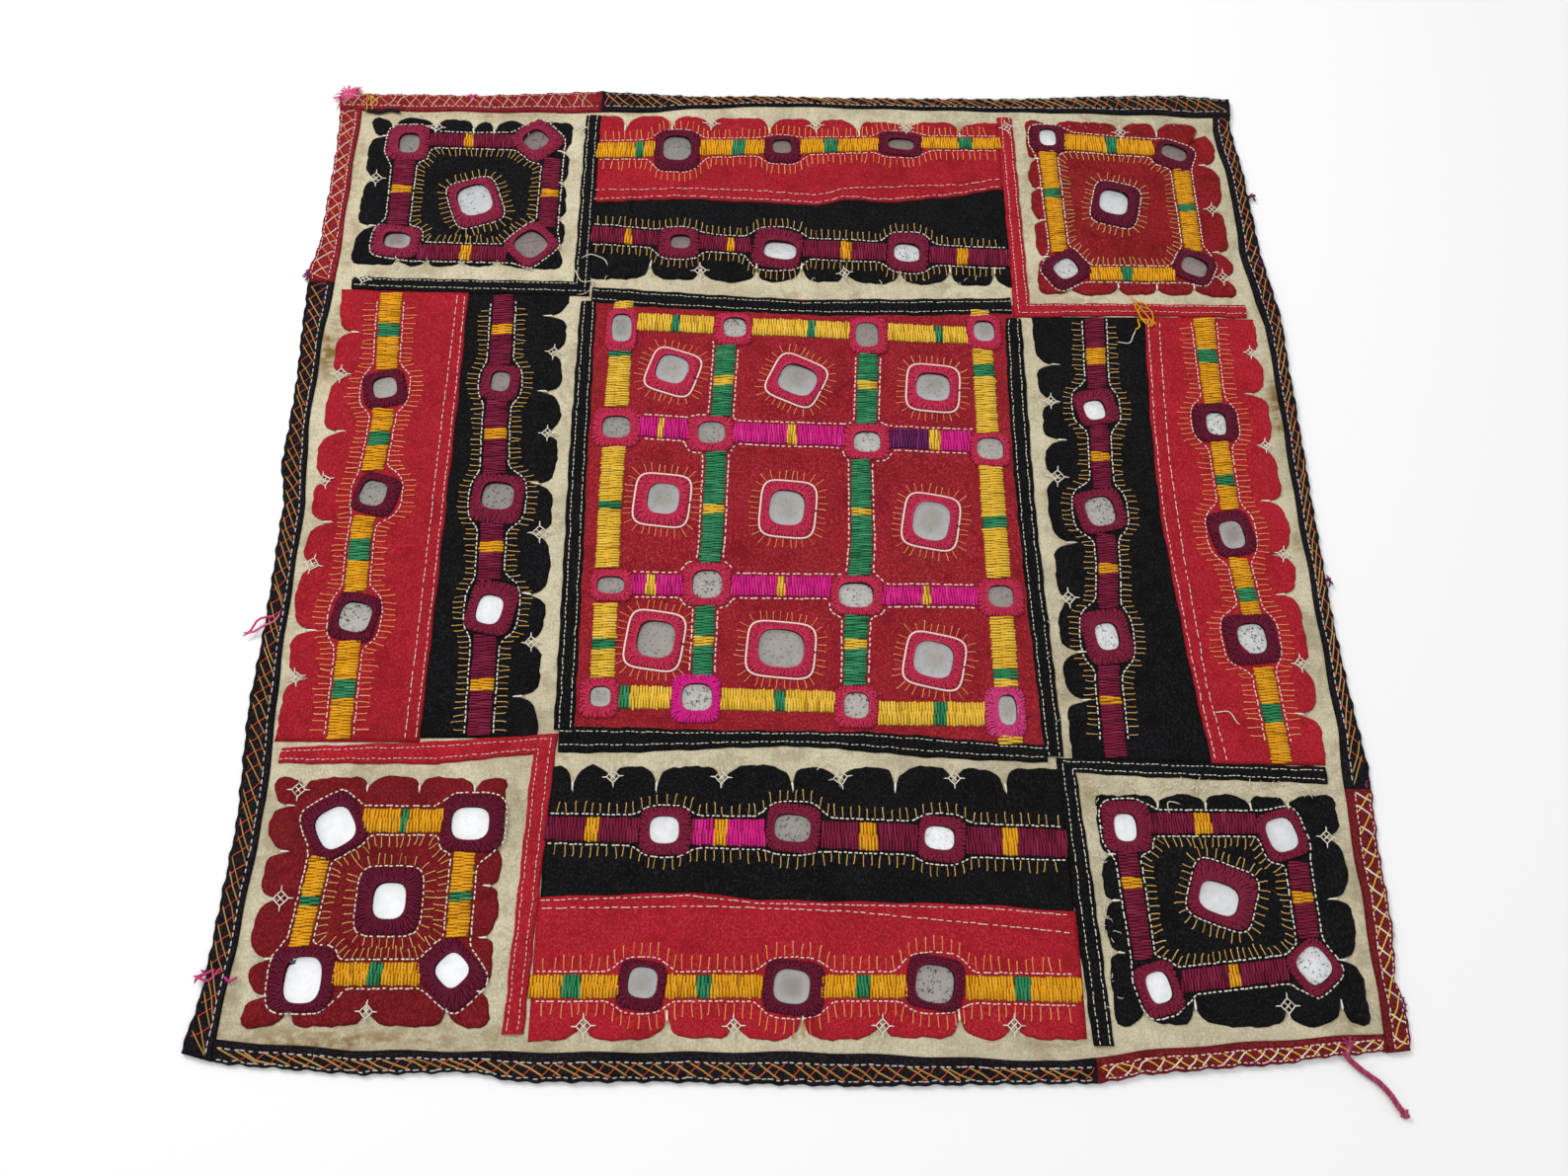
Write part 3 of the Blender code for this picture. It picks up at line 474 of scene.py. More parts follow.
def threadMesh(lines, width, height, taper=1.0):
    # A four sided tube round each of n lines of s points, closed in a point at both ends: the
    # side vector is the run crossed with up, and the cap vector is the run crossed with the side.
    n, s, _ = lines.shape
    width = np.broadcast_to(np.asarray(width, float).reshape(-1, 1, 1, 1), (n, 1, 1, 1))
    height = np.broadcast_to(np.asarray(height, float).reshape(-1, 1, 1, 1), (n, 1, 1, 1))
    run = np.gradient(lines, axis=1)
    run /= np.linalg.norm(run, axis=2, keepdims=True) + 1e-9
    side = np.cross(run, (0.0, 0.0, 1.0)) + np.array([1e-6, 0, 0])
    side /= np.linalg.norm(side, axis=2, keepdims=True)
    cap = np.cross(run, side)
    turn = np.arange(4) * tau / 4
    width = width * np.broadcast_to(taper, (s - 2,)).reshape(1, -1, 1, 1)
    ring = (lines[:, 1:-1, None] + side[:, 1:-1, None] * np.cos(turn)[:, None] * width / 2
            + cap[:, 1:-1, None] * np.sin(turn)[:, None] * height / 2)
    points = np.concatenate([lines[:, :1], ring.reshape(n, -1, 3), lines[:, -1:]], axis=1)
    far = points.shape[1]
    k = np.arange(4)
    after = (k + 1) % 4
    i = np.arange(s - 3)[:, None] * 4 + 1
    quads = np.stack([i + k, i + after, i + 4 + after, i + 4 + k], -1).reshape(-1, 4)
    last = 1 + 4 * (s - 3)
    tris = np.concatenate([np.stack([np.zeros(4, int), 1 + after, 1 + k], -1),
                           np.stack([last + k, last + after, np.full(4, far - 1)], -1)])
    length = np.zeros((n, s))
    length[:, 1:] = np.cumsum(np.linalg.norm(np.diff(lines, axis=1), axis=2), axis=1)
    stations = np.repeat(np.arange(1, s - 2), 4)
    low, high = length[:, stations], length[:, stations + 1]
    around = np.broadcast_to(np.tile(k / 4, s - 3), low.shape)
    quadMap = mapCorners((low, around), (low, around + 0.25), (high, around + 0.25), (high, around))
    zero, one, end, tip = (np.broadcast_to(length[:, [c]], (n, 4)) for c in (0, 1, s - 2, s - 1))
    a = np.broadcast_to(k / 4, (n, 4))
    triMap = np.concatenate([mapCorners((zero, a), (one, a + 0.25), (one, a)),
                             mapCorners((end, a), (end, a + 0.25), (tip, a))], axis=1)
    offset = np.arange(n)[:, None, None] * far
    return (points.reshape(-1, 3), (quads + offset).reshape(-1, 4), (tris + offset).reshape(-1, 3),
            quadMap.reshape(-1, 4, 2), triMap.reshape(-1, 3, 2), far)


threadBook = {}  # piece name: (bundle, finish)


def layThreads(piece, finish, lines, width, height, tone=None, taper=1.0):
    # Adds threads along these lines (n, s, 3) to a piece, each in a tone of its own.
    if len(lines) == 0:
        return
    tone = np.clip(draw.normal(0.55, 0.17, len(lines)), 0.2, 1.0) if tone is None else tone
    points, quads, tris, quadMap, triMap, far = threadMesh(lines, width, height, taper)
    bundle = threadBook.setdefault(piece, (Bundle(), finish))[0]
    bundle.add(points, quads, tris, quadMap, triMap, tone=np.repeat(np.broadcast_to(tone, len(lines)), far))


def layBed(piece, finish, top, drop, tone, wrapRows=False):
    # Adds a low solid bed under the threads of a piece, in a tone of its own; a low tone makes it painted
    # shade between the threads.
    bottom = top - np.array([0, 0, drop])
    points, quads = solidGrid(top, bottom, wrapRows=wrapRows)
    threadBook.setdefault(piece, (Bundle(), finish))[0].add(points, quads, tone=tone)


def runOf(path):
    # Distance from the start to each point of a path.
    return np.concatenate([[0], np.cumsum(np.hypot(*np.diff(path, axis=0).T))])


def along(path, closed=False):
    # A path, led back to its start if it is closed, and the distances along it.
    path = np.asarray(path, float)
    if closed:
        path = np.concatenate([path, path[:1]])
    return path, runOf(path)


def at(path, run, places):
    # Points (…, 2) on a path at these distances.
    return np.stack([np.interp(places, run, path[:, 0]), np.interp(places, run, path[:, 1])], -1)


def onKnots(knots, places, column=1):
    # Values at these places on straight lines between knots.
    knots = np.array(sorted(knots), float)
    return np.interp(places, knots[:, 0], knots[:, column])


def crossed(axis, run, across):
    # Points from places along an axis, x or y, and across it.
    return np.stack([run, across] if axis == "x" else [across, run], -1)


def onCloth(flat, rise):
    # Lays flat points (…, 2) at a height over the lying cloth.
    return np.concatenate([flat, (relief(flat[..., 0], flat[..., 1]) + rise)[..., None]], -1)


stitchSet = {"first": 0.3, "last": 0.6, "steps": (0, 0.2, 0.8, 1), "rise": (-0.2, 0.32, 0.32, -0.2),
             "height": 0.5, "tone": (0.68, 0.12), "unevenStart": 0.1, "unevenLength": 0.12, "sideways": 0.09}


def runStitches(piece, finish, path, level, pitch=2.3, share=0.82, width=0.72, closed=False):
    # Running stitches: short threads on a path that dive into the cloth at both ends.
    s = stitchSet
    path, run = along(path, closed)
    starts = np.arange(s["first"], run[-1] - pitch * s["last"], pitch)
    starts = starts + draw.normal(0, s["unevenStart"] * pitch, len(starts))
    spans = pitch * share * (1 + draw.normal(0, s["unevenLength"], len(starts)))
    places = starts[:, None] + spans[:, None] * np.array(s["steps"])
    flat = at(path, run, places) + draw.normal(0, s["sideways"], (len(starts), 1, 2))
    tone = np.clip(draw.normal(*s["tone"], len(starts)), 0.4, 1)
    layThreads(piece, finish, onCloth(flat, level + np.array(s["rise"])), width, s["height"], tone)


fringeSet = {"steps": (0, 0.12, 0.74, 0.93, 0.98), "bend": (0, 0, -0.12, 0.3, 1.1), "taper": (1, 1, 1.35),
             "rise": (-0.1, 0.3, 0.3, 0.34, 0.0), "height": 0.44, "uneven": 0.06, "look": 4.0,
             "lean": {"way": 3.5, "point": 1.5}, "scatter": 0.07, "unevenLength": 0.1}


def fringeStitches(piece, finish, path, side, level, towards=None, pitch=3.0, reach=4.9, start=0.3,
                   hook=0.4, width=0.46, even=0, closed=False):
    # Straight stitches that stand out from one side of a path, with a small turned tip. Towards is
    # the way they lean: a direction, or a point that they face. They are as far apart as pitch on
    # a copy of the path smoothed over even points to each side.
    f, window = fringeSet, 2 * even + 1
    guide = np.pad(path, ((even, even), (0, 0)), mode="wrap" if closed else "edge")
    guide = np.stack([np.convolve(c, np.ones(window) / window, mode="valid") for c in guide.T], -1)
    (path, run), (_, guideRun) = along(path, closed), along(guide, closed)
    places = np.arange(pitch / 2, guideRun[-1] - pitch * 0.3, pitch)
    places = np.interp(places + draw.normal(0, f["uneven"] * pitch, len(places)), guideRun, run)
    foot = at(path, run, places)
    ahead = at(path, run, places + f["look"]) - at(path, run, places - f["look"])
    out = np.stack([-ahead[:, 1], ahead[:, 0]], -1) * side
    out /= np.linalg.norm(out, axis=1, keepdims=True) + 1e-9
    if towards is not None:
        kind, value = towards
        lean = np.broadcast_to(value, foot.shape) if kind == "way" else np.array(value) - foot
        out = out + lean / np.linalg.norm(lean, axis=1, keepdims=True) * f["lean"][kind]
        out /= np.linalg.norm(out, axis=1, keepdims=True)
    ahead = np.stack([out[:, 1], -out[:, 0]], -1)
    one = (len(places), 1)
    out = out + ahead * draw.normal(0, f["scatter"], one)
    length = reach * (1 + draw.normal(0, f["unevenLength"], one))
    turn = draw.normal(1, 0.35, (*one, 1)) * draw.choice((1, 1, -1), (*one, 1)) * hook
    bend, steps = turn * np.array(f["bend"])[:, None], np.array(f["steps"])[:, None]
    flat = foot[:, None] + out[:, None] * (start + steps * length[:, None]) + ahead[:, None] * bend
    layThreads(piece, finish, onCloth(flat, level + np.array(f["rise"])), width, f["height"],
               taper=f["taper"])


# Levels of the layers over the lying cloth, in millimetres.
levelSet = {"groundLow": 0.3, "ground": 1.0, "cloth": 1.95, "block": 2.1, "border": 2.3, "frame": 2.4,
            "binding": 2.5}
clothLevel = levelSet["cloth"]
rimSet = {"reach": 1.3, "steps": (0, 0.12, 0.4, 0.8, 1.4, 2.4), "low": 1.0, "under": 0.85, "shade": 1.2}
hemSet = {"hem": 4 * mm, "bandEnds": 2 * mm}


def rimHeight(inside, low, high):
    # A turned-under rim: a quarter circle from low to high over the first bit of cloth.
    share = np.clip(inside / rimSet["reach"], 0, 1)
    return low + (high - low) * np.sqrt(np.clip(1 - (1 - share) ** 2, 0, 1))


def declareSheet(piece, width, length, rests, visible):
    # Works out the size of a cloth piece's cut, what shows and a turned-under hem all round, and keeps none
    # of it.
    hem = hemSet["hem"]
    wide, tall = width + 2 * hem, length + 2 * hem
    area = visible + 2 * hem * (width + length)
    min(area, wide * tall)


def forBoth(values):
    # The same values for the upper and the lower grid of a slab.
    return np.tile(np.ravel(values), 2)


def planArea(top):
    # Area in square metres of a grid seen from above.
    a = top[1:, 1:, :2] - top[:-1, :-1, :2]
    b = top[1:, :-1, :2] - top[:-1, 1:, :2]
    return float(np.abs(a[..., 0] * b[..., 1] - a[..., 1] * b[..., 0]).sum() / 2) * mm * mm


def spread(low, high, focus, fine, coarse, width):
    # Places from low to high, spaced coarse, and fine within width of each focus.
    probe = np.linspace(low, high, 4000)
    near = np.min(np.abs(probe[:, None] - np.array(focus)[None]), axis=1)
    density = 1 / coarse + (1 / fine - 1 / coarse) * np.exp(-(near / width) ** 4)
    total = np.concatenate([[0], np.cumsum((density[1:] + density[:-1]) / 2 * np.diff(probe))])
    return np.interp(np.linspace(0, total[-1], int(np.ceil(total[-1])) + 1), total, probe)


lobeSet = {"gaps": (0.48, 2.6, 2.4), "slit": (0.42, 1.1, 1.6), "notch": (0.58, 3.5, 1.25)}


def lobedEdge(places, cuts, depth, seed):
    # How far an edge lies behind its crest: a narrow slit at each cut over a flared soft notch,
    # each a share of the depth times exp(-(distance / width) to a power), with the lobes between
    # them cut by hand to slightly different heights.
    cuts = np.sort(np.array(cuts, float))
    index = np.arange(len(cuts))
    deep = depth * (1 + 0.13 * np.sin(2.4 * index + 0.7))
    off = places[:, None] - cuts[None]
    lean = 1.3 * np.sin(1.9 * index + seed)  # each cusp flares further to one side
    (slit, tight, sharp), (soft, wide, blunt) = lobeSet["slit"], lobeSet["notch"]
    flare = wide + np.where(off > 0, lean, -lean)
    dip = slit * np.exp(-(np.abs(off) / tight) ** sharp) + soft * np.exp(-(np.abs(off) / flare) ** blunt)
    notch = (deep * dip).max(axis=1)
    mids = np.concatenate([[places[0]], (cuts[1:] + cuts[:-1]) / 2, [places[-1]]])
    lobes = np.interp(places, np.sort(mids), 0.75 + 0.75 * np.sin(2.1 * np.arange(len(mids)) + seed))
    wander = 0.3 * np.sin(places * 0.55 + seed * 3) + 0.2 * np.sin(places * 1.23 + seed)
    return notch + lobes + wander


edgeSet = {  # (along the side, distance from the middle)
    "outer": {
        "top": ((-258, 252), (-180, 253), (-112, 258), (-60, 256), (50, 258), (130, 260), (170, 262),
                (220, 265), (248, 263)),
        "right": ((-250, 259), (-232, 260), (-222, 257), (-200, 260), (-165, 260), (-130, 262), (-90, 259),
                  (-50, 257), (20, 257), (60, 257), (120, 257), (138, 254), (160, 252), (205, 250),
                  (240, 247), (263, 248)),
        "bottom": ((-260, 250), (-240, 255), (-185, 259), (-140, 258), (-120, 262), (-60, 262), (20, 264),
                   (125, 263), (140, 260), (180, 257), (200, 256), (220, 253), (259, 250)),
        "left": ((-250, 260), (-225, 255), (-200, 254), (-155, 252), (-105, 255), (-60, 253.5), (0, 254),
                 (20, 258), (60, 257), (100, 259), (135, 260), (150, 257), (210, 256), (252, 258))},
    "inner": {
        "top": ((-245, 240), (-220, 240), (-130, 242), (-80, 244), (-60, 247), (0, 250), (150, 250),
                (237, 249)),
        "right": ((-243, 248), (-150, 248), (-110, 250), (-60, 249), (0, 248), (80, 248), (110, 247.6),
                  (125, 244), (158, 240), (190, 241), (212, 239), (240, 236), (249, 237)),
        "bottom": ((-246, 245), (-190, 249), (-100, 250), (0, 250), (80, 253), (110, 254), (140, 250),
                   (180, 247), (248, 243)),
        "left": ((-245, 246), (-205, 243), (-145, 240), (-118, 241), (-80, 243), (0, 243), (40, 247),
                 (100, 247), (125, 245), (240, 245))},
}


def edgeAt(edge, side, places):
    # Distance of an edge from the middle at these places, on straight lines between its knots.
    return onKnots(edgeSet[edge][side], places)


def onSide(side, places, across):
    # Points (places, across) of one side as x and y.
    places, across = np.broadcast_arrays(np.asarray(places, float), np.asarray(across, float))
    return {"top": np.stack([places, across], -1), "bottom": np.stack([places, -across], -1),
            "left": np.stack([-across, places], -1), "right": np.stack([across, places], -1)}[side]


stainSet = (  # x, y, half width, half height, strength: brown marks on the ground cloth
    (-243, 86, 6, 13, 1.0), (-240, 108, 4, 7, 0.4), (246, 58, 4, 20, 0.8), (247, -15, 4, 10, 0.55),
    (150, -119, 26, 4, 0.35), (128, -140, 4, 16, 0.3), (110, -247, 22, 5, 0.4), (-110, -248, 16, 4, 0.3),
    (-195, -247, 58, 7, 0.72), (-247, -205, 5, 40, 0.4), (-185, 243, 60, 7, 0.45),
    (-246, 195, 6, 50, 0.35), (248, 110, 5, 60, 0.25), (-238, 150, 4, 24, 0.18),
    (232, -232, 6, 14, 0.35), (120, 120, 8, 5, 0.25), (-232, 236, 10, 4, 0.25))
groundSet = {"inset": 2.5, "from": (-255, -252), "side": 510, "focus": (-180, 180), "gaps": (3.1, 11.0, 86),
             "cut": 0.515}


def makeGround(g):
    # A grid whose x runs from the left edge to the right edge at each height, and whose y runs
    # from the bottom edge to the top edge at each width, an inset inside the binding's edge.
    (left, bottom), side, inset = g["from"], g["side"], g["inset"]
    share = (spread(left, left + side, g["focus"], *g["gaps"]) - left) / side
    u, v = np.meshgrid(share, share)
    wide, tall = left + side * u, bottom + side * v
    x = (1 - u) * (-edgeAt("outer", "left", tall) + inset) + u * (edgeAt("outer", "right", tall) - inset)
    y = (1 - v) * (-edgeAt("outer", "bottom", wide) + inset) + v * (edgeAt("outer", "top", wide) - inset)
    flat = np.stack([x, y], -1)
    bundle = Bundle()
    soil = sum(strength * np.exp(-((x - a) / across) ** 2 - ((y - b) / upward) ** 2)
               for a, b, across, upward, strength in stainSet)
    bundle.add(*solidGrid(onCloth(flat, levelSet["ground"]), onCloth(flat, levelSet["groundLow"])),
               edge=0.0, soil=forBoth(soil))
    piece = bundle.make("ground_sheet", "cream_cotton")
    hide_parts("ground_cloth")


makeGround(groundSet)
print("ground cloth")


def makeBand(name, first, second, heights, material, node, rests, bottom, shares, edges, cut=None):
    # A closed strip between two lines of n points: line one x (1 - share) + line two x share.
    # Across it the points stand at shares (m or n, m) of the way, and heights (m or n, m) over the
    # lying cloth. Cut is what a narrow strip's width had turned under; others have the hem.
    shares = np.broadcast_to(shares, (len(first), np.shape(shares)[-1]))
    flat = first[:, None] * (1 - shares[..., None]) + second[:, None] * shares[..., None]
    heights = np.broadcast_to(heights, shares.shape)
    top = onCloth(flat, heights)
    low = onCloth(flat, np.minimum(bottom, heights - 0.06))
    turned = np.cross(np.append(first[1] - first[0], 0), np.append(second[0] - first[0], 0))[2]
    if turned > 0:  # keep the upper side facing up
        top, low = top.transpose(1, 0, 2), low.transpose(1, 0, 2)
    bundle = Bundle()
    # edges: painted shade at the folds, kept as the edge attribute
    shade = np.broadcast_to(edges, shares.shape)
    bundle.add(*solidGrid(top, low), edge=forBoth(shade.T if turned > 0 else shade))
    piece = bundle.make(name, material)
    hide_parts(node)
    run = float(np.hypot(*np.diff(first, axis=0).T).sum()) * mm
    wide = float(np.hypot(*(second - first).T).mean()) * mm
    if cut is None:
        declareSheet(piece, wide, run, rests, planArea(top))
    else:
        flat = (wide + cut, run + hemSet["bandEnds"])
        planArea(top) + cut * run


centreSet = {"count": 74, "from": (-110.9, -117.2), "size": (225.4, 239), "drop": 3.5, "lean": 2,
             "under": 0.95, "puff": (0.12, 9.0, 11.0), "shows": (0.2255, 0.236)}


def makeCentre(c):
    # A grid that runs under the frame strips on all four sides: x and y straight over the size,
    # y less drop x u squared x (1 - v) and lean x u x v, puffed by a product of two sines.
    share = np.linspace(0, 1, c["count"])
    u, v = np.meshgrid(share, share)
    x, y = c["from"][0] + c["size"][0] * u, c["from"][1] + c["size"][1] * v
    flat = np.stack([x, y - c["drop"] * u ** 2 * (1 - v) - c["lean"] * u * v], -1)
    high, lengthX, lengthY = c["puff"]
    puff = high * np.sin(x / lengthX) * np.sin(y / lengthY)
    bundle = Bundle()
    bundle.add(*solidGrid(onCloth(flat, clothLevel + puff), onCloth(flat, c["under"])), edge=0.0)
    piece = bundle.make("centre_cloth_sheet", "centre_cloth")
    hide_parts("centre_panel")
    declareSheet(piece, *c["shows"], ["ground_sheet"], c["shows"][0] * c["shows"][1])


makeCentre(centreSet)

seamSet = {
    "top": ((-113, 180), (-70, 183), (10, 181), (25, 186), (45, 184), (80, 188), (112, 195)),
    "bottom": ((-118, 187), (-50, 185), (-20, 188), (40, 189), (80, 190), (118, 193)),
    "left": ((-118, 175), (60, 174), (121, 175)),
    "right": ((-127, 188), (-80, 183), (-50, 181), (0, 178), (50, 179), (112, 182))}
stripSet = (  # side, colour, span, crest, cuts, stars
    ("top", "black", (-114, 114), 131, (-81, -54, -24, 0, 23, 53, 80, 104), (-54, 23)),
    ("top", "red", (-113, 113), 242, (-98, -72, -50, -17.5, 8.5, 33, 60, 90), (-50, 8.5, 60)),
    ("bottom", "black", (-116, 118), 128, (-105, -87, -67, -38, -6, 16, 41, 68, 91), (-87, -38, 16, 68)),
    ("bottom", "red", (-117, 119), 246, (-94, -59, -31, -2, 32, 65, 88), (-94, -31, 32, 88)),
    ("left", "black", (-117, 122), 122, (-97, -71, -47, -15, 11, 39, 63, 86, 108), (86, 39, -15, -71)),
    ("left", "red", (-119, 122), 241, (-89, -66, -33, -11, 11, 38, 71, 96), (71, 11, -33, -89)),
    ("right", "black", (-126, 113.5), 122, (-97, -73, -46, -17, 19, 40, 62, 84), (62, 19, -46)),
    ("right", "red", (-127, 114), 243, (-103, -78, -43, -22, 7, 38, 68, 93), (93, 38, -22, -78)))
stripShape = {"depth": 9.8, "head": (0.0, 0.35, 0.9, 2.0), "stations": 7, "star": 6.2, "slit": (0.72, 3.6),
              "lap": (0.75, 7.0), "lapEdge": 0.3, "lapTop": 0.7, "under": 3.0, "ends": 1.2}


def seamAt(side, places):  # how far out the seam of a side runs at these places
    return onKnots(seamSet[side], places)


def paintedRimShade(inside, reach):
    # Painted shade: darker cloth towards a turned edge, where the fold falls into shadow.
    return np.clip(1 - inside / reach, 0, 1) * 0.8


def makeStrip(number, side, colour, span, crest, cuts, stars):
    # From the seam to the lobed edge. The red cloth lies over the black one at the seam, where it
    # rises by lap x exp(-distance / its length).
    t, level = stripShape, clothLevel
    places = spread(*span, cuts, *lobeSet["gaps"])
    red = colour == "red"
    way = -1 if red else 1
    seam = seamAt(side, places) + (0.25 * np.sin(places / 5.0) if red else t["under"])
    lobed = crest + way * lobedEdge(places, cuts, t["depth"], number * 1.3)
    width = np.abs(lobed - seam)[:, None]
    middle = (np.linspace(1, 0.12, t["stations"])[1:] * (width - 3.5)
              + np.linspace(0, rimSet["steps"][-1], t["stations"])[1:])
    rim = np.broadcast_to(rimSet["steps"][-2::-1], (len(places), len(rimSet["steps"]) - 1))
    fromLobe = np.sort(np.concatenate([width - np.array(t["head"]), middle, rim], axis=1), axis=1)[:, ::-1]
    fromSeam = width - fromLobe
    heights = rimHeight(fromLobe, rimSet["low"], level)
    # painted shade towards the turned lobed edge
    shade = paintedRimShade(fromLobe, rimSet["shade"])
    if red:
        (rise, fade), low, top = t["lap"], level - t["lapEdge"], level + t["lapTop"]
        over = np.minimum(heights, rimHeight(fromSeam, low, level + rise)) + rise * np.exp(-fromSeam / fade)
        heights = np.where(fromSeam <= 1.0, rimHeight(fromSeam, low, top), over)
        # painted shade where the red cloth turns under at the seam
        shade = shade + paintedRimShade(fromSeam, 0.9)
    ends = np.minimum(places - places[0], places[-1] - places)[:, None]
    makeBand(f"{colour}_strip_{side}", onSide(side, places, seam), onSide(side, places, lobed),
             np.minimum(heights, t["ends"] + ends), colour + "_cloth", f"strip_{side}_{colour}",
             ["ground_sheet"], bottom=rimSet["under"], shares=1 - fromLobe / width, edges=shade)
    for cutPlace in cuts:
        if min((abs(cutPlace - star) for star in stars), default=9) < 1.5:
            starPlaces.append((*onSide(side, cutPlace, crest + way * t["star"]), level))
        else:
            first, last = t["depth"] * t["slit"][0], t["depth"] + t["slit"][1]
            slitEnds.append((onSide(side, cutPlace, crest + way * first),
                             onSide(side, cutPlace + draw.normal(0, 0.5), crest + way * last), level))


starPlaces, slitEnds = [], []
for number, strip in enumerate(stripSet):
    makeStrip(number, *strip)
print("centre panel and strips")

blockSet = {
    "top_left": {"colour": "black", "box": (-239, -127, 137, 236),
                 "cuts": {"top": (-226, -203, -182, -170.5, -151.5), "right": (151, 170, 193, 214),
                          "bottom": (-215, -199, -181, -162), "left": (161.5, 192, 222)},
                 "stars": ((-202, 228), (-231, 192), (-123, 231), (-230, 128))},
    "top_right": {"colour": "deep_red", "box": (127, 236, 127, 245), "roundings": {"high_right": 21},
                  "notch": 7.5,
                  "cuts": {"top": (144, 182, 203), "right": (139, 155.5, 184, 214.5),
                           "bottom": (144.5, 170.5, 191.5, 211.5), "left": (151, 175, 196.5, 217)},
                  "stars": ((182, 236), (228, 184), (228, 139), (117, 238))},
    "bottom_left": {"colour": "deep_red", "box": (-238, -133, -241, -134),
                    "cuts": {"top": (-224, -195.5, -172.5, -148), "right": (-226, -204, -182.5, -164),
                             "bottom": (-217.5, -185, -152), "left": (-228, -213, -188, -168, -148)},
                    "stars": ((-226, -141), (-227, -188), (-185, -234))},
    "bottom_right": {"colour": "black", "box": (131, 244, -241, -140),
                     "cuts": {"top": (160.5, 182.5, 203, 220.5), "right": (-213, -187, -160),
                              "bottom": (146, 167, 207, 231), "left": (-210, -188, -168)},
                     "stars": ((236, -160), (207, -232))},
}
blockDepth = {"outward": 9, "inward": 5}
blockShape = {"inset": 11.0, "rounding": 6.0, "fade": 5, "rings": 7, "between": (0.35, 0.7), "shown": 0.93,
              "notchWidth": 1.7, "slit": (0.72, 3.2), "starGap": 5, "deep": 60}


def blockSides(corner, b):
    # For each side its axis, first and last place, way round, edge, way inwards, depth of lobes.
    left, right, low, high = b["box"]
    rows = {"bottom": ("x", left, right, 1, low, 1), "right": ("y", low, high, 1, right, -1),
            "top": ("x", left, right, -1, high, -1), "left": ("y", low, high, -1, left, 1)}
    return {side: (*row, blockDepth["outward" if side in corner.split("_") else "inward"])
            for side, row in rows.items()}


def blockOutline(corner, b):
    # Outline of a block and the inner rectangle's nearest point to each of its points, anticlockwise.
    # Each side is its lobed edge, drawn in by a quarter circle at both ends.
    t, slant = blockShape, math.sqrt(0.5)
    radii = [b.get("roundings", {}).get(key, t["rounding"])
             for key in ("low_left", "low_right", "high_right", "high_left")]
    atEnds = ((0, 1), (1, 2), (3, 2), (0, 3))  # the corners at the first and last end of each side
    outline, inner = [], []
    for number, (side, row) in enumerate(blockSides(corner, b).items()):
        axis, first, last, way, edge, inward, depth = row
        two = [radii[k] for k in atEnds[number]]
        bend = [radius * (1 - slant) for radius in two]
        cuts = b["cuts"][side]
        places = spread(first + bend[0], last - bend[1], cuts, *lobeSet["gaps"])[::way]
        behind = lobedEdge(np.sort(places), cuts, depth, number + len(corner))[::way]
        ends = ((places - first, two[0], bend[0]), (last - places, two[1], bend[1]))
        for end, _, least in ends:
            behind = behind * np.clip((end - least) / t["fade"], 0, 1)
        for end, radius, _ in ends:
            behind = behind + radius * (1 - np.sqrt(np.clip(1 - np.clip(1 - end / radius, 0, 1) ** 2, 0, 1)))
        lobes = crossed(axis, places, edge + inward * behind)
        base = crossed(axis, np.clip(places, first + t["inset"], last - t["inset"]),
                       np.full(len(places), edge + inward * t["inset"]))
        if "notch" in b and side in ("top", "right"):  # a slit that runs in from the high right corner
            end = last - places - bend[1]
            lobes = lobes - (b["notch"] * np.exp(-(end / t["notchWidth"]) ** 2))[:, None] * slant
            base = base - (5 * np.exp(-(end / 6) ** 2))[:, None] * slant
        outline.append(lobes)
        inner.append(base)
    return np.concatenate(outline), np.concatenate(inner)


def makeBlock(corner, b):
    # Rings from the middle of the block to its inner rectangle, then on to the lobed outline.
    t, level = blockShape, levelSet["block"]
    left, right, low, high = b["box"]
    outline, inner = blockOutline(corner, b)
    middle = np.array([(left + right) / 2, (low + high) / 2])
    rings = [middle + (inner - middle) * share for share in np.linspace(0.02, 1, t["rings"])]
    reach = np.linalg.norm(outline - inner, axis=1, keepdims=True)
    inside = [np.full_like(reach, t["deep"])] * t["rings"]
    rim = rimSet["steps"][-1]
    for share in t["between"]:
        away = (1 - share) * (reach - rim) + rim
        rings.append(outline + (inner - outline) * away / reach)
        inside.append(away)
    for away in rimSet["steps"][::-1]:
        rings.append(outline + (inner - outline) * np.minimum(away, reach * 0.95) / reach)
        inside.append(np.full_like(reach, away))
    flat = np.stack(rings)
    fromEdge = np.stack(inside)[..., 0]
    heights = rimHeight(fromEdge, rimSet["low"], level)
    below = onCloth(flat, np.minimum(rimSet["under"], heights - 0.06))
    bundle = Bundle()
    # painted shade towards the turned outline, as the edge attribute
    bundle.add(*solidGrid(onCloth(flat, heights), below, wrapCols=True),
               edge=forBoth(paintedRimShade(fromEdge, rimSet["shade"])))
    piece = bundle.make(f"block_cloth_{corner}", b["colour"] + "_cloth", merge=True)
    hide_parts(f"block_{corner}")
    wide, tall = (right - left) * mm, (high - low) * mm
    declareSheet(piece, wide, tall, ["ground_sheet"], wide * tall * t["shown"])
    starPlaces.extend((*star, level) for star in b["stars"])
    sides = blockSides(corner, b)
    for side in ("bottom", "top", "left", "right"):
        axis, *_, edge, inward, depth = sides[side]
        for place in b["cuts"][side]:
            distances = edge + inward * np.array([depth * t["slit"][0], depth + t["slit"][1]])
            ends = crossed(axis, np.full(2, float(place)), distances)
            if min(np.abs(np.array(star) - ends[1]).max() for star in b["stars"]) > t["starGap"]:
                slitEnds.append((*ends, level))


for corner, block in blockSet.items():
    makeBlock(corner, block)
print("corner blocks")

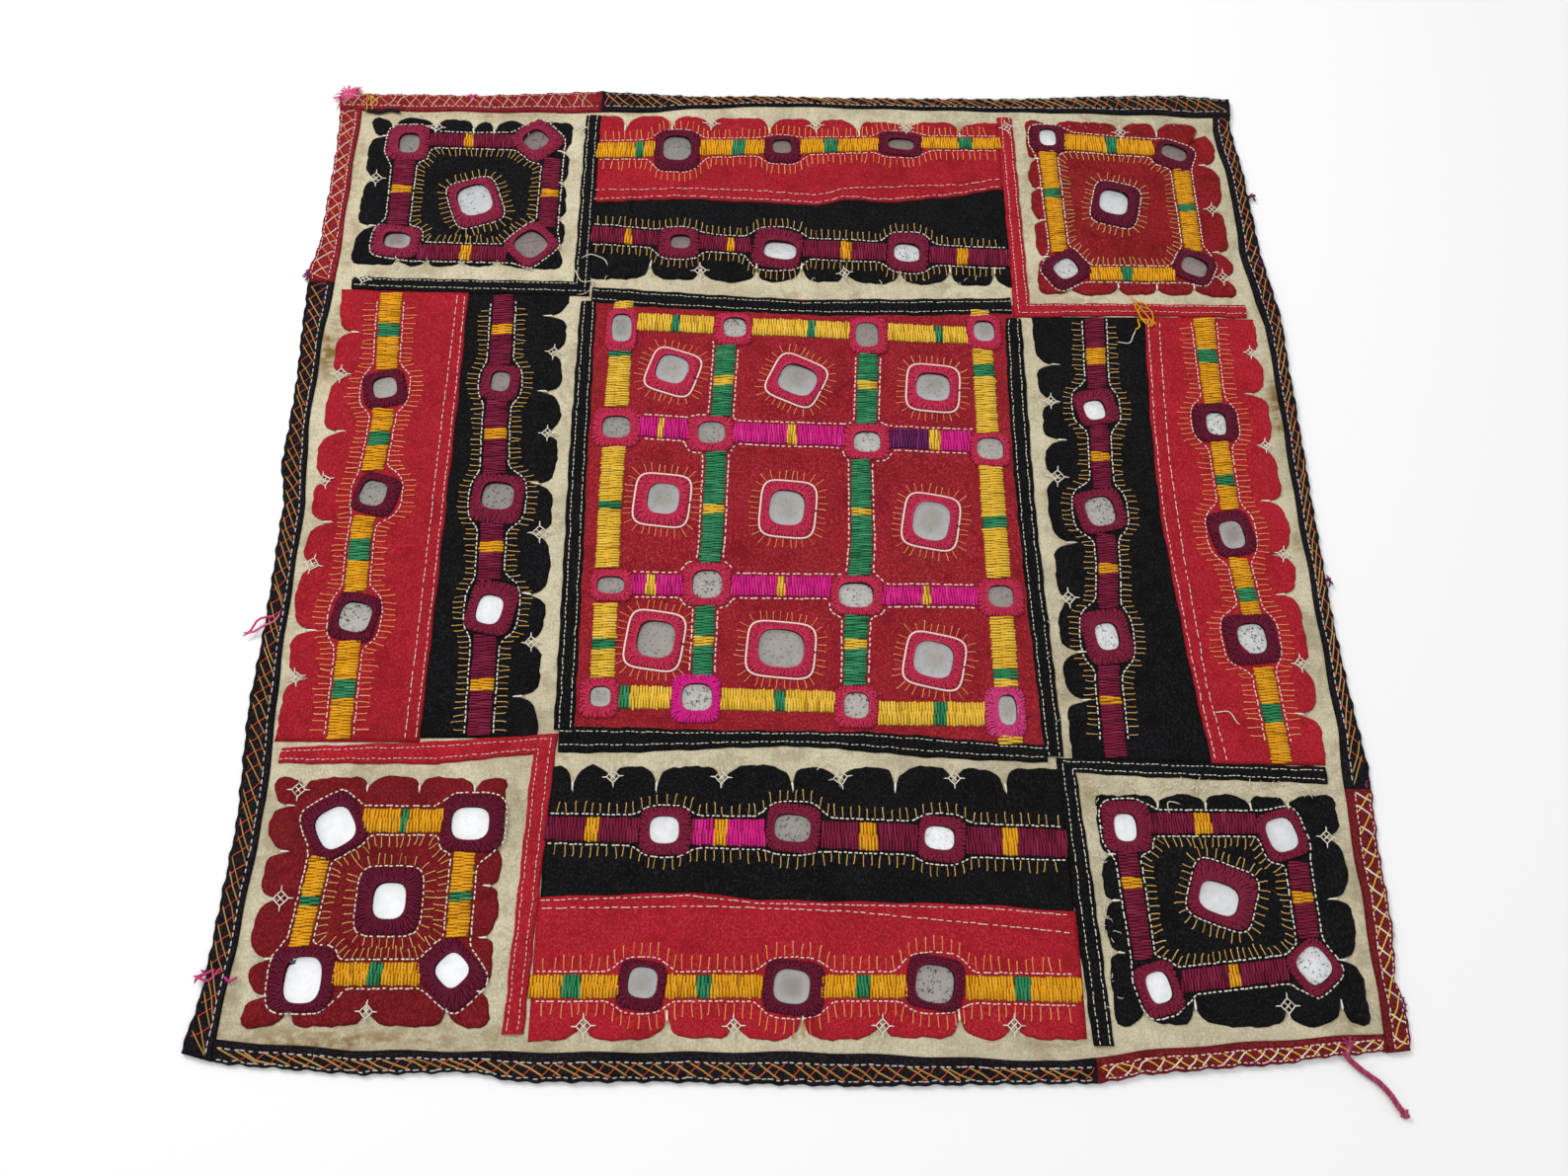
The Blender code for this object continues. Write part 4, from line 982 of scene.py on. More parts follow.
frameSet = {  # outer and inner line of each strip: along its side, distance from the middle
    "top": (((-110.7, 127), (-60, 124), (0, 121), (50, 122), (111.6, 125)),
            ((-110.7, 116.6), (-85, 114), (-22, 111.6), (0, 110.6), (34, 110.8), (55, 111.2), (80, 112.6),
             (96, 113.5), (111.6, 113.8))),
    "right": (((-123.5, 119.8), (0, 115.8), (111.6, 116.8)),
              ((-123.5, 110.2), (-46, 106.9), (0, 105.7), (60, 105.7), (111.6, 107.4))),
    "bottom": (((-112.5, 123.2), (-84, 123.1), (-56, 121.7), (-28, 120.2), (0, 119.6), (28, 121.8),
                (56, 124.4), (84, 125.6), (103, 126.2), (111.6, 126.4)),
               ((-112.5, 110.4), (-84, 110.7), (-56, 111.6), (-28, 112), (28, 112.2), (56, 113.9),
                (84, 116.3), (103, 117.3), (111.6, 118.2))),
    "left": (((-112.6, 115.2), (-48, 115.8), (22, 117), (117.4, 116.6)),
             ((-112.6, 105.2), (-48, 105.6), (22, 107), (117.4, 107.4)))}
borderSet = {  # colour, then x and y along both lines of each border, round its corner
    "top_left": ("black", ((-112, 240), (-112, 121), (-236, 122)),
                 ((-120.5, 240), (-121, 130), (-236, 130))),
    "top_right": ("red", ((112, 245), (113, 112.5), (150, 114), (238, 114.5)),
                  ((121, 245), (122, 121.5), (152, 122), (238, 122.5))),
    "bottom_left": ("red", ((-236, -121.5), (-160, -118), (-113, -114.2), (-113.5, -125), (-116.5, -187),
                            (-119, -243)),
                    ((-237, -129), (-165, -129), (-123.5, -124), (-124, -131), (-126, -187), (-128, -243))),
    "bottom_right": ("black", ((121.5, -248), (118, -190), (115.8, -124), (160, -125.2), (241, -127.5)),
                     ((130.5, -248), (128, -190), (124.5, -131), (160, -133), (241, -135.5)))}
bandProfile = {"shares": (0, 0.02, 0.06, 0.13, 0.2, 0.35, 0.5, 0.65, 0.8, 0.87, 0.94, 0.98, 1),
               "heights": (0.0, 0.45, 0.8, 0.94, 0.86, 1.12, 1.2, 1.12, 0.86, 0.94, 0.8, 0.45, 0.0),
               "stitched": 0.86, "pull": 0.1, "pitch": 3.2, "low": 1.0, "under": 0.9, "most": 1.05,
               "wander": ((0.22, 4.1, 1), (0.14, 1.9, 2)), "later": 7}  # (reach, length, phase)


def pairedLines(first, second, gap):
    # Two knotted lines cut at the same shares of each stretch between knots.
    first, second = np.asarray(first, float), np.asarray(second, float)
    knots = runOf(first)
    places = np.unique(np.concatenate([np.arange(0, knots[-1], gap), knots]).round(4))
    lines = [np.stack([np.interp(places, knots, line[:, axis]) for axis in (0, 1)], -1)
             for line in (first, second)]
    return places, *lines


def foldedStrip(name, first, second, level, material, node, rests, seed, gap=2.0, cut=2 * mm):
    # A narrow folded strip, puffed between the two lines of stitches near its edges: its heights
    # are those of the profile times a small sine along it, and both edges wander by two sines.
    places, first, second = pairedLines(first, second, gap)
    p = bandProfile
    wander = sum(reach * np.sin(places / length + phase * seed) for reach, length, phase in p["wander"])
    across = second - first
    across /= np.linalg.norm(across, axis=1, keepdims=True)
    first = first + across * wander[:, None]
    second = second + across * np.roll(wander, p["later"])[:, None]
    shape = np.array(p["heights"])
    near = np.where(np.abs(shape - p["stitched"]) < 0.1, 1, 0.3)
    pull = 1 + p["pull"] * np.sin(tau * places / p["pitch"])[:, None] * near
    heights = p["low"] + (level - p["low"]) * shape * pull / p["most"]
    # edges: painted shade where the strip slopes down to both sides
    makeBand(name, first, second, heights, material, node, rests, bottom=p["under"],
             shares=np.array(p["shares"]), edges=np.clip(1 - shape, 0, 1) * 0.6, cut=cut)
    return first, second


edgeLines = []  # (first, second, level, kind)
for number, (side, (outer, inner)) in enumerate(frameSet.items()):
    outer, inner = (onSide(side, *np.array(line).T) for line in (outer, inner))
    knots = np.linspace(0, 1, 9)
    outer, inner = (at(*along(line), knots * along(line)[1][-1]) for line in (outer, inner))
    lines = foldedStrip(f"frame_strip_{side}", outer, inner, levelSet["frame"], "black_cloth",
                        f"frame_{side}", ["centre_cloth_sheet", "ground_sheet"], number)
    edgeLines.append((*lines, levelSet["frame"], "frame"))
for number, (corner, (colour, outer, inner)) in enumerate(borderSet.items()):
    lines = foldedStrip(f"border_strip_{corner}", outer, inner, levelSet["border"], colour + "_cloth",
                        f"border_{corner}", ["ground_sheet"], number + 5)
    edgeLines.append((*lines, levelSet["border"], colour))

bindingSet = {  # side, colour, outer span, inner span
    "top_red": ("top", "red", (-258, -112), (-257.3, -112)),
    "top_black": ("top", "black", (-112, 248), (-112, 247.2)),
    "right_black": ("right", "black", (248.7, -138), (248.7, -138)),
    "right_red": ("right", "red", (-138, -250), (-138, -251)),
    "bottom_red": ("bottom", "red", (247.7, 122), (247.7, 122)),
    "bottom_black": ("bottom", "black", (122, -245.7), (122, -245.7)),
    "left_black": ("left", "black", (126, -250), (126, -253.5)),
    "left_red": ("left", "red", (239.7, 126), (239.7, 126))}
bindingProfile = {
    "shares": (0, 0.02, 0.07, 0.14, 0.19, 0.3, 0.42, 0.54, 0.63, 0.68, 0.74, 0.84, 0.93, 0.98, 1),
    "heights": (0.35, 0.72, 0.93, 0.95, 0.88, 1.0, 1.04, 1.0, 0.88, 0.84, 0.93, 0.96, 0.86, 0.62, 0.42),
    "gap": 1.7, "pull": 7.1, "out": 0.4, "cut": 4 * mm}
stitchLine = {"top": 0.8, "left": 0.82, "bottom": 0.68, "right": 0.72}  # how far in the inner stitches run
bindingLines = {}
for name, (side, colour, outerSpan, innerSpan) in bindingSet.items():
    profile, shape = bindingProfile, np.array(bindingProfile["heights"])
    count = int(abs(outerSpan[1] - outerSpan[0]) / profile["gap"]) + 2
    share = np.linspace(0, 1, count)
    outerPlaces, innerPlaces = (start + (end - start) * share for start, end in (outerSpan, innerSpan))
    ripple = np.sin(tau * outerPlaces / profile["pull"] + 1.2 * np.sin(outerPlaces / 31))
    knob = 0.26 * ripple + 0.3 * np.sin(outerPlaces / 2.3) - profile["out"]
    outer = onSide(side, outerPlaces, edgeAt("outer", side, outerPlaces) + knob)
    inner = onSide(side, innerPlaces, edgeAt("inner", side, innerPlaces) + 0.3 * np.sin(innerPlaces / 6.3))
    roll = 1 + 0.07 * ripple[:, None] * (shape > 0.8)
    # painted shade where the binding is low: at its rolled edges and between its rolls
    shade = np.clip(np.clip(0.95 - shape, 0, 1) * 1.2, 0, 1)
    makeBand("binding_cloth_" + name, outer, inner, levelSet["binding"] * shape * roll, "binding_" + colour,
             f"binding_{name}", ["ground_sheet"], bottom=0.05, edges=shade, cut=profile["cut"],
             shares=np.interp(profile["shares"], (0, 0.65, 1), (0, stitchLine[side], 1)))
    bindingLines[name] = (outer, inner)
print("frames, borders and bindings")

mirrorSet = {  # x, y, width, height, tilt, ring left, right, low, high, shine, spots
    "centre_panel": (
        (-94, 101, 11, 17, 0, -102, -86, 87, 113, 0.6, 0.3),
        (-35, 102.5, 12.6, 12, 0, -46, -26, 92, 111, 0.72, 0.9),
        (34, 99, 12.5, 15, 0, 25, 45, 88, 110, 0.56, 0.4),
        (96, 103, 11.5, 12.7, 0, 87, 105, 92, 113, 0.6, 0.3),
        (-94, 43, 14.6, 12.6, 0, -106, -82, 32, 54, 0.6, 0.7),
        (-46, 40.5, 14, 12.7, 0, -58, -35, 30, 50, 0.62, 0.7),
        (32.5, 36.7, 14, 11.8, 0, 21, 44, 27, 47, 0.74, 0.8),
        (95, 33.7, 13.8, 12.6, 0, 85, 105, 24, 43, 0.68, 0.5),
        (-92.5, -42, 13.4, 9, 0, -102, -82, -50, -34, 0.6, 0.7),
        (-46.5, -41, 14.6, 14.6, 0, -58, -35, -52, -30, 0.7, 1),
        (25, -46, 17, 13, 0, 13, 38, -56, -36, 0.74, 0.8),
        (95, -46, 12.7, 11.5, 0, 84, 106, -56, -37, 0.56, 0.6),
        (-94.6, -97, 10, 10, 0, -104, -86, -107, -88, 0.62, 0.3),
        (-50, -97, 14.6, 13.4, 0, -62, -39, -109, -86, 0.74, 1),
        (24, -100.5, 12.3, 12.7, 0, 14, 34, -111, -91, 0.7, 1),
        (94.6, -102, 9, 14.6, 0, 84, 103, -115, -91, 0.62, 0.3),
        (-67, 77, 16.5, 16.5, -18, -80, -53, 62, 89, 0.64, 0.25),
        (-2.5, 71.5, 19.7, 17.5, -25, -18, 12, 57, 86, 0.62, 0.2),
        (67.5, 69, 18, 16.6, -5, 54, 81, 55, 82, 0.62, 0.3),
        (-69, 3.5, 16, 17, -5, -83, -56, -11, 17, 0.62, 0.2),
        (-8, -0.5, 18, 19, -5, -21, 6, -16, 14, 0.64, 0.2),
        (63, -7, 18.5, 21, -10, 49, 77, -22, 8, 0.62, 0.2),
        (-70, -69, 18, 18.5, -8, -84, -57, -84, -55, 0.62, 0.5),
        (-11, -73, 22, 19, -5, -27, 5, -87, -60, 0.64, 0.4),
        (61, -78, 19, 17.7, -12, 47, 76, -92, -65, 0.64, 0.2)),
    "strip_top_red": (
        (-68.6, 217, 16, 17.5, 0, -81, -56, 202, 230, 0.6, 0.5),
        (-10.4, 220, 11, 10, 5, -21, 0, 209, 228, 0.46, 0.2),
        (56.4, 224, 15, 8, -6, 43, 69, 216, 233, 0.44, 0.3)),
    "strip_top_black": (
        (-65, 155, 11, 9, 0, -77, -55, 145, 164, 0.46, 0.4),
        (-11.5, 151, 18, 12, -9, -27, 1, 139, 165, 0.86, 0.3),
        (57, 151, 14.5, 12, -4, 46, 69, 139, 164, 0.86, 0.8)),
    "strip_bottom_black": (
        (-63, -158, 13.6, 12.5, 0, -74, -51, -169, -148, 0.92, 0.1),
        (-6, -157, 16.7, 12.5, -5, -18, 7, -168, -146, 0.58, 0.8),
        (60, -161, 14, 11, -6, 50, 72, -172, -151, 0.95, 0.3)),
    "strip_bottom_red": (
        (-70, -222.5, 13, 13, -7, -81, -60, -234, -213, 0.6, 0.1),
        (-6.5, -224, 16, 14.5, -6, -19, 8, -236, -213, 0.56, 0.1),
        (55, -223, 17, 16, -9, 42, 68, -234, -211, 0.62, 1)),
    "strip_left_red": (
        (-211.5, 63, 12.5, 12.5, 14, -223, -200, 51, 74, 0.7, 0.3),
        (-210, 4, 13, 14, -14, -220, -197, -8, 15, 0.6, 0.8),
        (-211, -59.5, 15, 15, -10, -223, -200, -72, -47, 0.72, 1)),
    "strip_left_black": (
        (-154, 68, 10, 12, -6, -164, -144, 57, 78, 0.56, 0.4),
        (-150, 4, 16, 15, -5, -163, -137, -11, 16, 0.58, 0.9),
        (-149, -55, 12.5, 15, -11, -160, -136, -68, -40, 0.97, 0.1)),
    "strip_right_black": (
        (150.5, 57, 11.4, 11.7, 12, 140, 163, 48, 70, 0.92, 0.2),
        (148, 0, 15, 16, 13, 135, 161, -12, 13, 0.68, 1),
        (145, -65.5, 11.5, 14, 9, 133, 157, -80, -51, 0.84, 0.7)),
    "strip_right_red": (
        (213, 50, 11, 13.6, 0, 201, 224, 40, 62, 0.82, 1),
        (212.6, -12, 12.5, 15, 12, 201, 224, -24, 2, 0.56, 0.3),
        (215, -66, 14.5, 15.6, 5, 201, 228, -79, -53, 0.8, 1)),
    "block_top_left": (
        (-216, 216.5, 11.7, 14, 0, -228, -205, 205, 229, 0.58, 0.6),
        (-147, 221, 13, 13, 45, -160, -132, 207, 235, 0.5, 0.8),
        (-215.6, 152.5, 14.5, 10, -5, -229, -203, 142, 162, 0.56, 0.3),
        (-144.7, 152, 16.4, 16.4, 45, -159, -130, 139, 165, 0.54, 0.6),
        (-177, 179.6, 18.4, 20, 20, -191, -162, 162, 195, 0.85, 0.7)),
    "block_top_right": (
        (140, 231, 10, 12, 0, 130, 150, 221, 240, 0.9, 0.1),
        (211, 222, 15, 10, -24, 199, 223, 210, 231, 0.46, 0.6),
        (213, 145, 14.5, 12, -26, 201, 225, 134, 157, 0.54, 0.4),
        (143, 143, 13.5, 12, 34, 129, 157, 131, 155, 0.8, 0.9),
        (173.5, 187.5, 16.5, 17, -14, 161, 188, 171, 202, 0.86, 0.15)),
    "block_bottom_left": (
        (-207.4, -157.7, 17, 18, 30, -222, -194, -172, -142, 1, 0),
        (-148.7, -155.6, 17, 15, 0, -161, -134, -168, -143, 1, 0.1),
        (-151, -217.5, 13.5, 13.5, 45, -164, -138, -235, -203, 1, 0),
        (-213, -221.4, 16, 19, 0, -227, -200, -234, -208, 1, 0),
        (-180.4, -188.8, 14.5, 16, 0, -194, -167, -203, -175, 1, 0)),
    "block_bottom_right": (
        (144.5, -156, 11, 13, 0, 134, 156, -167, -144, 0.92, 0),
        (215.5, -159, 14, 15.5, 16, 204.5, 227, -171, -147, 0.86, 0.1),
        (221, -215.6, 14.5, 15, 38, 209, 233, -228, -204, 0.86, 0.8),
        (152, -224.5, 11, 13.5, 16, 142, 162, -237, -213, 0.93, 0.1),
        (183, -187, 18, 14, -20, 169, 201, -200, -171, 0.85, 0.1))}
ringFinish = {"centre_panel": "crimson_thread", "block_top_left": "rose_thread"} | dict.fromkeys(
    ("strip_top_red", "strip_bottom_red", "strip_left_red", "strip_right_red", "block_top_right",
     "block_bottom_left"), "plum_thread")
ringSpecial = {("centre_panel", 13): "magenta_thread", ("centre_panel", 15): "pink_yarn"}
ringSet = {"sides": 30, "pitch": 1.12, "innerPower": 2.9, "outerPower": 4.8, "swell": 0.18, "bedShadeTone": 0.26,
           "width": 1.1, "height": 0.44, "tone": (0.5, 0.07), "shares": (0.02, 0.2, 0.75, 1.0),
           "rise": (0.5, 0.88, 0.75, 0.0),
           "rows": (  # first and last share, slant, then four heights
               (-0.02, 0.44, 0.9, 0.8, 1.22, 1.16, 0.7), (0.28, 0.78, -0.9, 0.7, 1.14, 1.1, 0.65),
               (0.62, 1.03, 0.7, 0.65, 1.06, 0.85, 0.0))}
purlSet = {"run": 0.72, "pitch": 1.75, "steps": (-0.6, -0.35, 0.5, 0.75), "rise": (0.95, 1.3, 1.35, 1.05),
           "out": 0.5, "width": 0.85, "height": 0.65}
glassSet = {"sides": 30, "rings": (0, 0.35, 0.68, 0.88, 1.0), "hidden": 1.8, "rise": 0.4, "dome": 0.8,
            "tip": 0.022, "under": 0.15}
threadLevel = {"centre_panel": clothLevel} | {f"block_{c}": levelSet["block"] for c in blockSet}


def oval(angle, width, height, tilt, power):
    # A squarish oval, turned by tilt: the sum of |x / half width| and |y / half height|, each to
    # this power, is one.
    reach = (np.abs(np.cos(angle)) ** power + np.abs(np.sin(angle)) ** power) ** (-1 / power)
    across, upward = np.cos(angle) * reach * width / 2, np.sin(angle) * reach * height / 2
    turn = math.radians(tilt)
    return np.stack([across * math.cos(turn) - upward * math.sin(turn),
                     across * math.sin(turn) + upward * math.cos(turn)], -1)


def swellOf(tilt):
    # How much a squarish oval gains in width and height when it is turned.
    turn = math.radians(abs(tilt) % 90)
    return 1 + ringSet["swell"] * math.sin(2 * min(turn, tau / 4 - turn)) if tilt else 1.0


def ringLines(m, angle, grow=0.0, shrink=0.0):
    # Inner and outer line of a ring of thread at these angles. The outer one is as wide and as
    # high as the ring's box once it is turned.
    x, y, width, height, tilt, left, right, low, high, _, _ = m
    inner = np.array([x, y]) + oval(angle, width - shrink, height - shrink, tilt, ringSet["innerPower"])
    wide, tall = (size / swellOf(tilt) + 2 * grow for size in (right - left, high - low))
    outer = oval(angle, wide, tall, tilt, ringSet["outerPower"])
    return inner, np.array([(left + right) / 2, (low + high) / 2]) + outer


def evenAngles(m, shares):
    # Angles at these shares of the way round a ring's middle line, and the length of that line.
    probe = np.linspace(0, tau, 721)
    inner, outer = ringLines(m, probe)
    run = runOf((inner + outer) / 2)
    return np.interp(np.asarray(shares) * run[-1], run, probe), run[-1]


def makeRing(cloth, index, m):
    # A raised ring between the glass and its outer line: a bed, three rows of short threads set
    # evenly round it, each row slanted its own way, and slanted loops along the edge of the glass.
    level = threadLevel.get(cloth, clothLevel)
    finish = ringSpecial.get((cloth, index), ringFinish.get(cloth, "wine_thread"))
    piece = "rings_" + finish
    g, p = ringSet, purlSet
    angle, length = evenAngles(m, np.arange(g["sides"]) / g["sides"])
    inner, outer = ringLines(m, angle)
    shares = np.array(g["shares"])[:, None, None]
    top = onCloth(inner * (1 - shares) + outer * shares, level + np.array(g["rise"])[:, None])
    # a bed in a low tone under the ring: painted shade between its threads
    layBed(piece, finish, top.transpose(1, 0, 2)[:, ::-1], 0.5, g["bedShadeTone"], wrapRows=True)
    for first, last, slant, *rise in g["rows"]:  # three rows of short radial threads
        count = int(length / g["pitch"])
        share = (np.arange(count) + draw.normal(0, 0.12, count)) / count % 1
        angle = evenAngles(m, share)[0]
        inner, outer = ringLines(m, angle)
        _, outerTurned = ringLines(m, angle + draw.normal(2.4 * slant, 0.2, count) / count * tau)
        steps = first + (last - first) * np.array([0, 0.13, 0.87, 1])[None, :, None]
        steps = steps + draw.normal(0, 0.015, (count, 1, 1))
        flat = inner[:, None] * (1 - steps) + outerTurned[:, None] * steps
        layThreads(piece, finish, onCloth(flat, level + np.array(rise) + draw.normal(0, 0.03, (count, 1))),
                   g["width"], g["height"], np.clip(draw.normal(*g["tone"], count), 0.3, 1))
    count = int(length * p["run"] / p["pitch"])  # the purled edge round the glass
    angle = (np.arange(count) + 0.5) / count * tau
    inner, _ = ringLines(m, angle[:, None] + np.array(p["steps"]) / count * tau, shrink=-p["out"])
    layThreads(piece, finish, onCloth(inner, level + np.array(p["rise"])), p["width"], p["height"])


def makeGlass(cloth, mirrors):
    # A thin lens for each mirror: rings of points from the middle out to under the thread, tipped
    # a little its own way.
    g, bundle = glassSet, Bundle()
    level = threadLevel.get(cloth, clothLevel)
    angle = np.arange(g["sides"]) / g["sides"] * tau
    ringShadow = 0.55 + 0.45 * np.cos(angle - 2.2)  # painted shadow of the thread ring, strongest on the upper left
    shares = np.array(g["rings"])[:, None, None]
    # rim: painted shadow of the ring over the outer part of the glass
    rim = np.clip((shares[..., 0] - 0.6) / 0.35, 0, 1) * ringShadow
    pale = np.broadcast_to(np.clip((shares[..., 0] - 0.3) / 0.5, 0, 1), rim.shape)
    for x, y, width, height, tilt, *_, shine, spots in mirrors:
        edge = oval(angle, width + g["hidden"], height + g["hidden"], tilt, ringSet["innerPower"])
        flat = np.array([x, y]) + edge * shares
        tip = draw.normal(0, g["tip"], 2)
        dome = g["dome"] * (1 - shares[..., 0] ** 2) + (edge * shares) @ tip
        base = relief(x, y) + level
        top = np.concatenate([flat, (base + g["rise"] + dome)[..., None]], -1)
        low = np.concatenate([flat, np.full_like(dome, base + g["under"])[..., None]], -1)
        hazy = 0.5 < shine < 0.66 and spots < 0.35
        bundle.add(*solidGrid(top, low, wrapCols=True), edge=forBoth(rim), halo=forBoth(pale * hazy),
                   shine=shine, spots=spots)
    nodes = [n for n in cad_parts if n.startswith(f"mirror_{cloth}_")]
    piece = bundle.make(f"mirrors_{cloth}", "mirror_glass", merge=True)
    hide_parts(*nodes)


for cloth, mirrors in mirrorSet.items():
    makeGlass(cloth, mirrors)
    for index, m in enumerate(mirrors):
        makeRing(cloth, index, m)
print("mirrors and rings")

# Bars of satin stitch: axis, finish, finish of the bands, knots (along, low, high), runs, and bands
# (from, to, and a finish of their own where they have one).
barSet = {
    "strip_top_red": (
        "x", "gold", "green", ((-112, 210, 221), (-56, 212, 224), (0, 216, 226.5), (68, 221.5, 230),
        (113, 222.5, 230.5)), ((-113, -81), (-56, -20), (0, 44), (68, 113)), ((-92, -87), (-38, -31),
        (13, 21), (89, 97))),
    "strip_top_black": (
        "x", "maroon", "gold", ((-112, 154, 165), (-40, 150, 159.5), (20, 146, 158), (100, 144, 155),
        (113, 144, 155)), ((-113, -77), (-55, -27), (1, 46), (69, 113)), ((-95, -91), (-40, -36), (21, 27),
        (84, 90))),
    "strip_bottom_black": (
        "x", "maroon", "gold", ((-118, -163, -152), (0, -166, -153), (118, -170, -157)), ((-116, -74),
        (-51, -18), (7, 50), (72, 117)), ((-98, -92), (-50, -41, "magenta"), (-41, -35),
        (-35, -18, "magenta"), (24, 32), (88, 95))),
    "strip_bottom_red": (
        "x", "gold", "green", ((-120, -229, -219), (40, -229, -219), (118, -231, -220)), ((-118, -80),
        (-60, -19), (6, 43), (68, 118)), ((-104, -96), (-47, -41), (21, 27), (89, 96))),
    "strip_left_red": (
        "y", "gold", "green", ((-118, -217, -206), (-20, -219, -208), (45, -216, -205), (120, -221, -209)),
        ((-118, -71), (-47, -8), (16, 51), (74, 120)), ((93, 101), (30, 38), (-31, -20), (-99, -90))),
    "strip_left_black": (
        "y", "maroon", "gold", ((-118, -154, -143), (-20, -157, -145), (40, -160, -148), (120, -162, -151)),
        ((-116, -68), (-40, -10), (16, 58), (78, 120)), ((96, 102), (35, 41), (-26, -20), (-95, -89))),
    "strip_right_black": (
        "y", "maroon", "gold", ((-124, 138, 149), (-90, 138, 149), (-30, 144, 154), (30, 146, 156),
        (112, 150, 161)), ((-124, -80), (-51, -12), (13, 48), (70, 112)), ((84, 94), (28, 33), (-33, -28),
        (-99, -95))),
    "strip_right_red": (
        "y", "gold", "green", ((-127, 216, 226), (-55, 212, 222), (-25, 209, 219), (60, 208, 218),
        (114, 208, 220)), ((-126, -80), (-54, -24), (2, 40), (62, 113)), ((86, 94), (15, 21), (-47, -40),
        (-107, -98))),
    "centre_left": (
        "y", "yellow", "green", ((-104, -100, -88), (0, -101, -89), (60, -101, -88), (118, -99, -88)),
        ((-88, -51), (-33, 32), (55, 88), (113, 117.5)), ((84, 88), (-2, 2), (-74, -69))),
    "centre_right": (
        "y", "yellow", "green", ((-118, 89, 101), (0, 88, 101), (116, 89, 100)), ((-118, -114), (-91, -56),
        (-36, 24), (43, 92), (112, 116)), ((76, 83), (-10, -4), (-87, -82))),
    "centre_second": (
        "y", "green", "yellow", ((-87, -53, -43), (-52, -52, -42), (-15, -50, -39), (29, -49, -38),
        (51, -47, -36), (92, -45, -34)), ((-87, -52), (-30, 30), (50, 92)), ((68, 74), (-4, 1),
        (-72, -67))),
    "centre_third": (
        "y", "green", "yellow", ((-91, 18, 29), (-56, 19, 31), (-20, 23, 34), (26, 24, 34), (48, 27, 38),
        (88, 29, 40)), ((-91, -56), (-36, 27), (47, 88)), ((67, 72), (-4, 0), (-73, -68))),
    "centre_top": (
        "x", "yellow", "green", ((-86, 100, 111), (0, 97, 108), (88, 95, 106)), ((-86, -46), (-26, 25),
        (45, 87)), ((-68, -64), (3, 7), (70, 74))),
    "centre_upper": (
        "x", "magenta", "yellow", ((-83, 38, 50), (-33, 35, 47), (21, 34, 46), (85, 32, 44)), ((-83, -58),
        (-35, 21), (44, 85)), ((-73, -70), (-8, -3), (44, 64, "purple"), (64, 70))),
    "centre_lower": (
        "x", "magenta", "yellow", ((-83, -47, -36), (14, -47, -36), (37, -51, -41), (83, -51, -41)),
        ((-83, -58), (-35, 13), (38, 84)), ((-76, -71), (-13, -9), (57, 61))),
    "centre_bottom": (
        "x", "yellow", "green", ((-86, -103, -91), (-50, -103, -92), (13, -104, -93), (34, -110, -98),
        (84, -110, -98)), ((-86, -62), (-39, 14), (34, 84)), ((-86, -81), (-14, -9), (60, 66)))}
blockBars = {
    "top_left": ("maroon", "gold",
        {"top": ((-205, 215, 224), (-158, 215, 225), (-186, -181)),
        "left": ((162, -222, -211), (205, -223, -211), (183, 188)),
        "right": ((163, -142, -132), (209, -142, -132), (183, 188)),
        "bottom": ((-204, 141, 151), (-157, 141, 151), (-182, -176))}),
    "top_right": ("gold", "green",
        {"top": ((149, 223, 235), (200, 220, 231), (173, 179)),
        "left": ((154, 136, 145), (222, 134, 144), (190, 196)),
        "right": ((155, 209, 219), (211, 209, 219), (182, 187)),
        "bottom": ((156, 136, 145), (202, 136, 145), (173, 179))}),
    "bottom_left": ("gold", "green",
        {"top": ((-196, -160, -149), (-161, -160, -149), (-179, -176)),
        "left": ((-208, -221, -212), (-170, -217, -208), (-191, -187)),
        "right": ((-204, -155, -145), (-168, -155, -145), (-189, -185)),
        "bottom": ((-201, -224, -214), (-164, -224, -214), (-186, -180))}),
    "bottom_right": ("maroon", "gold",
        {"top": ((155, -159, -149), (205, -159, -149), (176, 184)),
        "left": ((-213, 142, 151), (-166, 139, 149), (-183, -178)),
        "right": ((-204, 216, 226), (-171, 216, 226), (-189, -184)),
        "bottom": ((162, -227, -217), (209, -222, -212), (183, 188))})}
barStitch = {"pitch": 1.35, "width": 1.22, "height": 0.8, "overlap": 0.26, "taper": (1.0, 1.0, 0.5),
             "least": 0.6, "uneven": 0.07, "edge": 0.28, "slant": 0.16, "steps": (0, 0.1, 0.5, 0.92, 1.0),
             "rise": (-0.1, 0.55, 0.78, 0.5, 0.05), "bedIn": 0.2, "bedShares": (0.03, 0.2, 0.5, 0.8, 0.97),
             "bedRise": (0.05, 0.38, 0.42, 0.38, 0.05), "bedShadeTone": 0.1}


